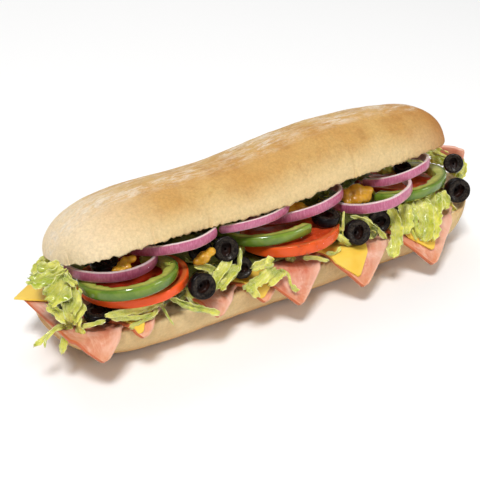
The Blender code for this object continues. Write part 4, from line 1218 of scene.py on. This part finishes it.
def finishHeap(pieces, name, *nodes):
    piece = joinAll(pieces, name)
    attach(piece, "root")
    if nodes:
        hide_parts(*nodes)


def makeLettuce():
    look = lettuce
    bright = lettuceFinish("lettuceLeaf", look["deep"], look["bright"], look["rib"])
    # painted shade: a dark copy of the lettuce finish, for the cores and the back shreds that stand in the shade inside
    # the roll
    dark = lettuceFinish("lettuceHeart", (0.045, 0.055, 0.005), (0.15, 0.17, 0.02), (0.30, 0.32, 0.09))
    kinds = [shredKind(number, bright) for number in range(look["kinds"])]
    chance = random.Random(look["seed"])
    toFront = Vector((-0.35, -0.80, 0.45)).normalized()
    strips = {}
    for node, leaves in leafStrips.items():
        strips[node] = [stripPiece("leaf", width, path, number + len(node) + int(node[-1] == "1") * 20, bright)
                        for number, (width, path) in enumerate(leaves)]
    for node, (count, size, shrink) in lettuceHeaps.items():
        # the core takes the dark finish, painted shade between the shreds
        core = heapCore(node, shrink, dark)
        shreds = layShreds(kinds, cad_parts[node], count, size, chance, toFront, 2.4)
        finishHeap([core] + shreds + strips.get(node, []), node + "_heap", node)
    for number in range(7, 12):
        node = f"lettuce_{number}"
        finishHeap(strips[node], node + "_leaves", node)
    # the bed core takes the dark finish as painted shade
    finishHeap([heapCore("lettuce_bed", 0.5, dark)], "lettuce_bed_core", "lettuce_bed")
    shreds = layShreds(kinds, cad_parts["lettuce_bed"], look["bedShreds"], 0.55, chance,
                       Vector((-0.1, -0.9, 0.25)).normalized(), 1.8)
    finishHeap(shreds + strips["lettuce_bed"], "lettuce_bed_front")
    shreds = looseShreds(kinds, look["backShreds"], chance)
    # painted shade: the shreds filling the back take the dark lettuce finish
    for shred in shreds:
        shred.data.materials[0] = dark
    finishHeap(shreds, "lettuce_bed_fill")
    shreds = layShreds(kinds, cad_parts["lettuce_bed"], 230, 0.72, chance, Vector((0, 1, 0.15)).normalized(), 1.6)
    finishHeap(shreds, "lettuce_bed_back")
    for kind in kinds:
        bpy.data.objects.remove(kind)


makeLettuce()
print("stage: lettuce")


# ---- water drops

# piece they stand on, how many, smallest and largest radius, part of it (low and high x, y, z)
drops = {
    "pepper_1_ring": (90, 0.28, 0.75, (-92, -36, 49), (-80, -10, 56)),
    "tomato_2_slice": (130, 0.22, 0.55, (-14, -55, 40), (36, -34, 51)),
    "tomato_1_slice": (10, 0.22, 0.5, (-110, -48, 41), (-75, -20, 48)),
    "pepper_2_ring": (8, 0.22, 0.5, (-30, -46, 48), (10, -30, 56)),
    "onion_1_ring": (10, 0.2, 0.4, (-130, -36, 56), (-90, -20, 64)),
}


def makeDrops():
    water = waterFinish()
    chance = random.Random(5)
    for name, (count, small, large, low, high) in drops.items():
        target = bpy.data.objects[name]
        faces = []
        for face in target.data.polygons:
            spot = face.center / mm - toFrame((0, 0, 0)) / mm
            inside = all(low[axis] < spot[axis] < high[axis] for axis in range(3))
            if inside and face.normal.dot(Vector(lettuce["facing"])) > 0.15:
                faces.append(face)
        beads = []
        for face in chance.choices(faces, k=count) if faces else []:
            radius = chance.uniform(small, large) * 1.4 * mm
            deselect()
            bpy.ops.mesh.primitive_uv_sphere_add(segments=12, ring_count=8, radius=radius, location=(0, 0, 0))
            bead = bpy.context.object
            turn = face.normal.to_track_quat("Z", "Y").to_matrix().to_4x4()
            squash = Matrix.Diagonal((1.0, chance.uniform(0.8, 1.0), 0.55, 1.0))
            bead.data.transform(Matrix.Translation(face.center) @ turn @ squash)
            bead.data.materials.append(water)
            beads.append(bead)
        if beads:
            piece = joinAll(beads, name.replace("_ring", "").replace("_slice", "") + "_drops")
            bpy.ops.object.shade_smooth()
            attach(piece, "root")


makeDrops()
print("stage: water drops")


# ---- floor, light and camera

studio = {
    "azimuth": -35.0, "elevation": 27.0, "distance": 620.0, "lens": 78.0, "target": (-21, 0, 35),
    "floor": 3.2, "sky": 0.27,
}


def makeStudio():
    deselect()
    bpy.ops.mesh.primitive_plane_add(size=studio["floor"])
    floor = bpy.context.object
    floor.name = "floor"
    material, tree, shader = newFinish("paleFloor", 0.9)
    shader.inputs["Base Color"].default_value = (0.97, 0.97, 0.97, 1)
    floor.data.materials.append(material)
    world = bpy.data.worlds.new("studio")
    world.use_nodes = True
    background = world.node_tree.nodes["Background"]
    background.inputs["Color"].default_value = (1.0, 0.99, 0.97, 1)
    seen = addNode(world.node_tree, "ShaderNodeLightPath").outputs["Is Camera Ray"]   # the backdrop looks paler than it lights
    sky = addNode(world.node_tree, "ShaderNodeMath", {0: seen, 1: 1.0 - studio["sky"], 2: studio["sky"]},
                  operation="MULTIPLY_ADD")
    world.node_tree.links.new(sky.outputs["Value"], background.inputs["Strength"])
    bpy.context.scene.world = world
    bpy.context.scene.view_settings.view_transform = "Standard"
    for name, place, size, power in (("key", (-800, -850, 1900), 0.5, 36.5), ("fill", (1300, -1500, 800), 0.6, 10.5),
                                     ("rimLight", (400, 1400, 1500), 1.5, 13.0)):
        bpy.ops.object.light_add(type="AREA", location=toFrame(place))
        light = bpy.context.object
        light.name = name
        light.data.size = size
        light.data.energy = power
        light.rotation_euler = (toFrame((0, 0, 40)) - light.location).to_track_quat("-Z", "Y").to_euler()
    a = math.radians(studio["azimuth"])
    e = math.radians(studio["elevation"])
    forward = Vector((-math.sin(a) * math.cos(e), math.cos(a) * math.cos(e), -math.sin(e)))
    bpy.ops.object.camera_add(location=toFrame(studio["target"]) - forward * studio["distance"] * mm)
    camera = bpy.context.object
    camera.data.lens = studio["lens"]
    camera.data.sensor_width = 36
    camera.data.clip_start = 0.01
    camera.rotation_euler = forward.to_track_quat("-Z", "Y").to_euler()
    bpy.context.scene.camera = camera


makeStudio()
print("stage: studio")
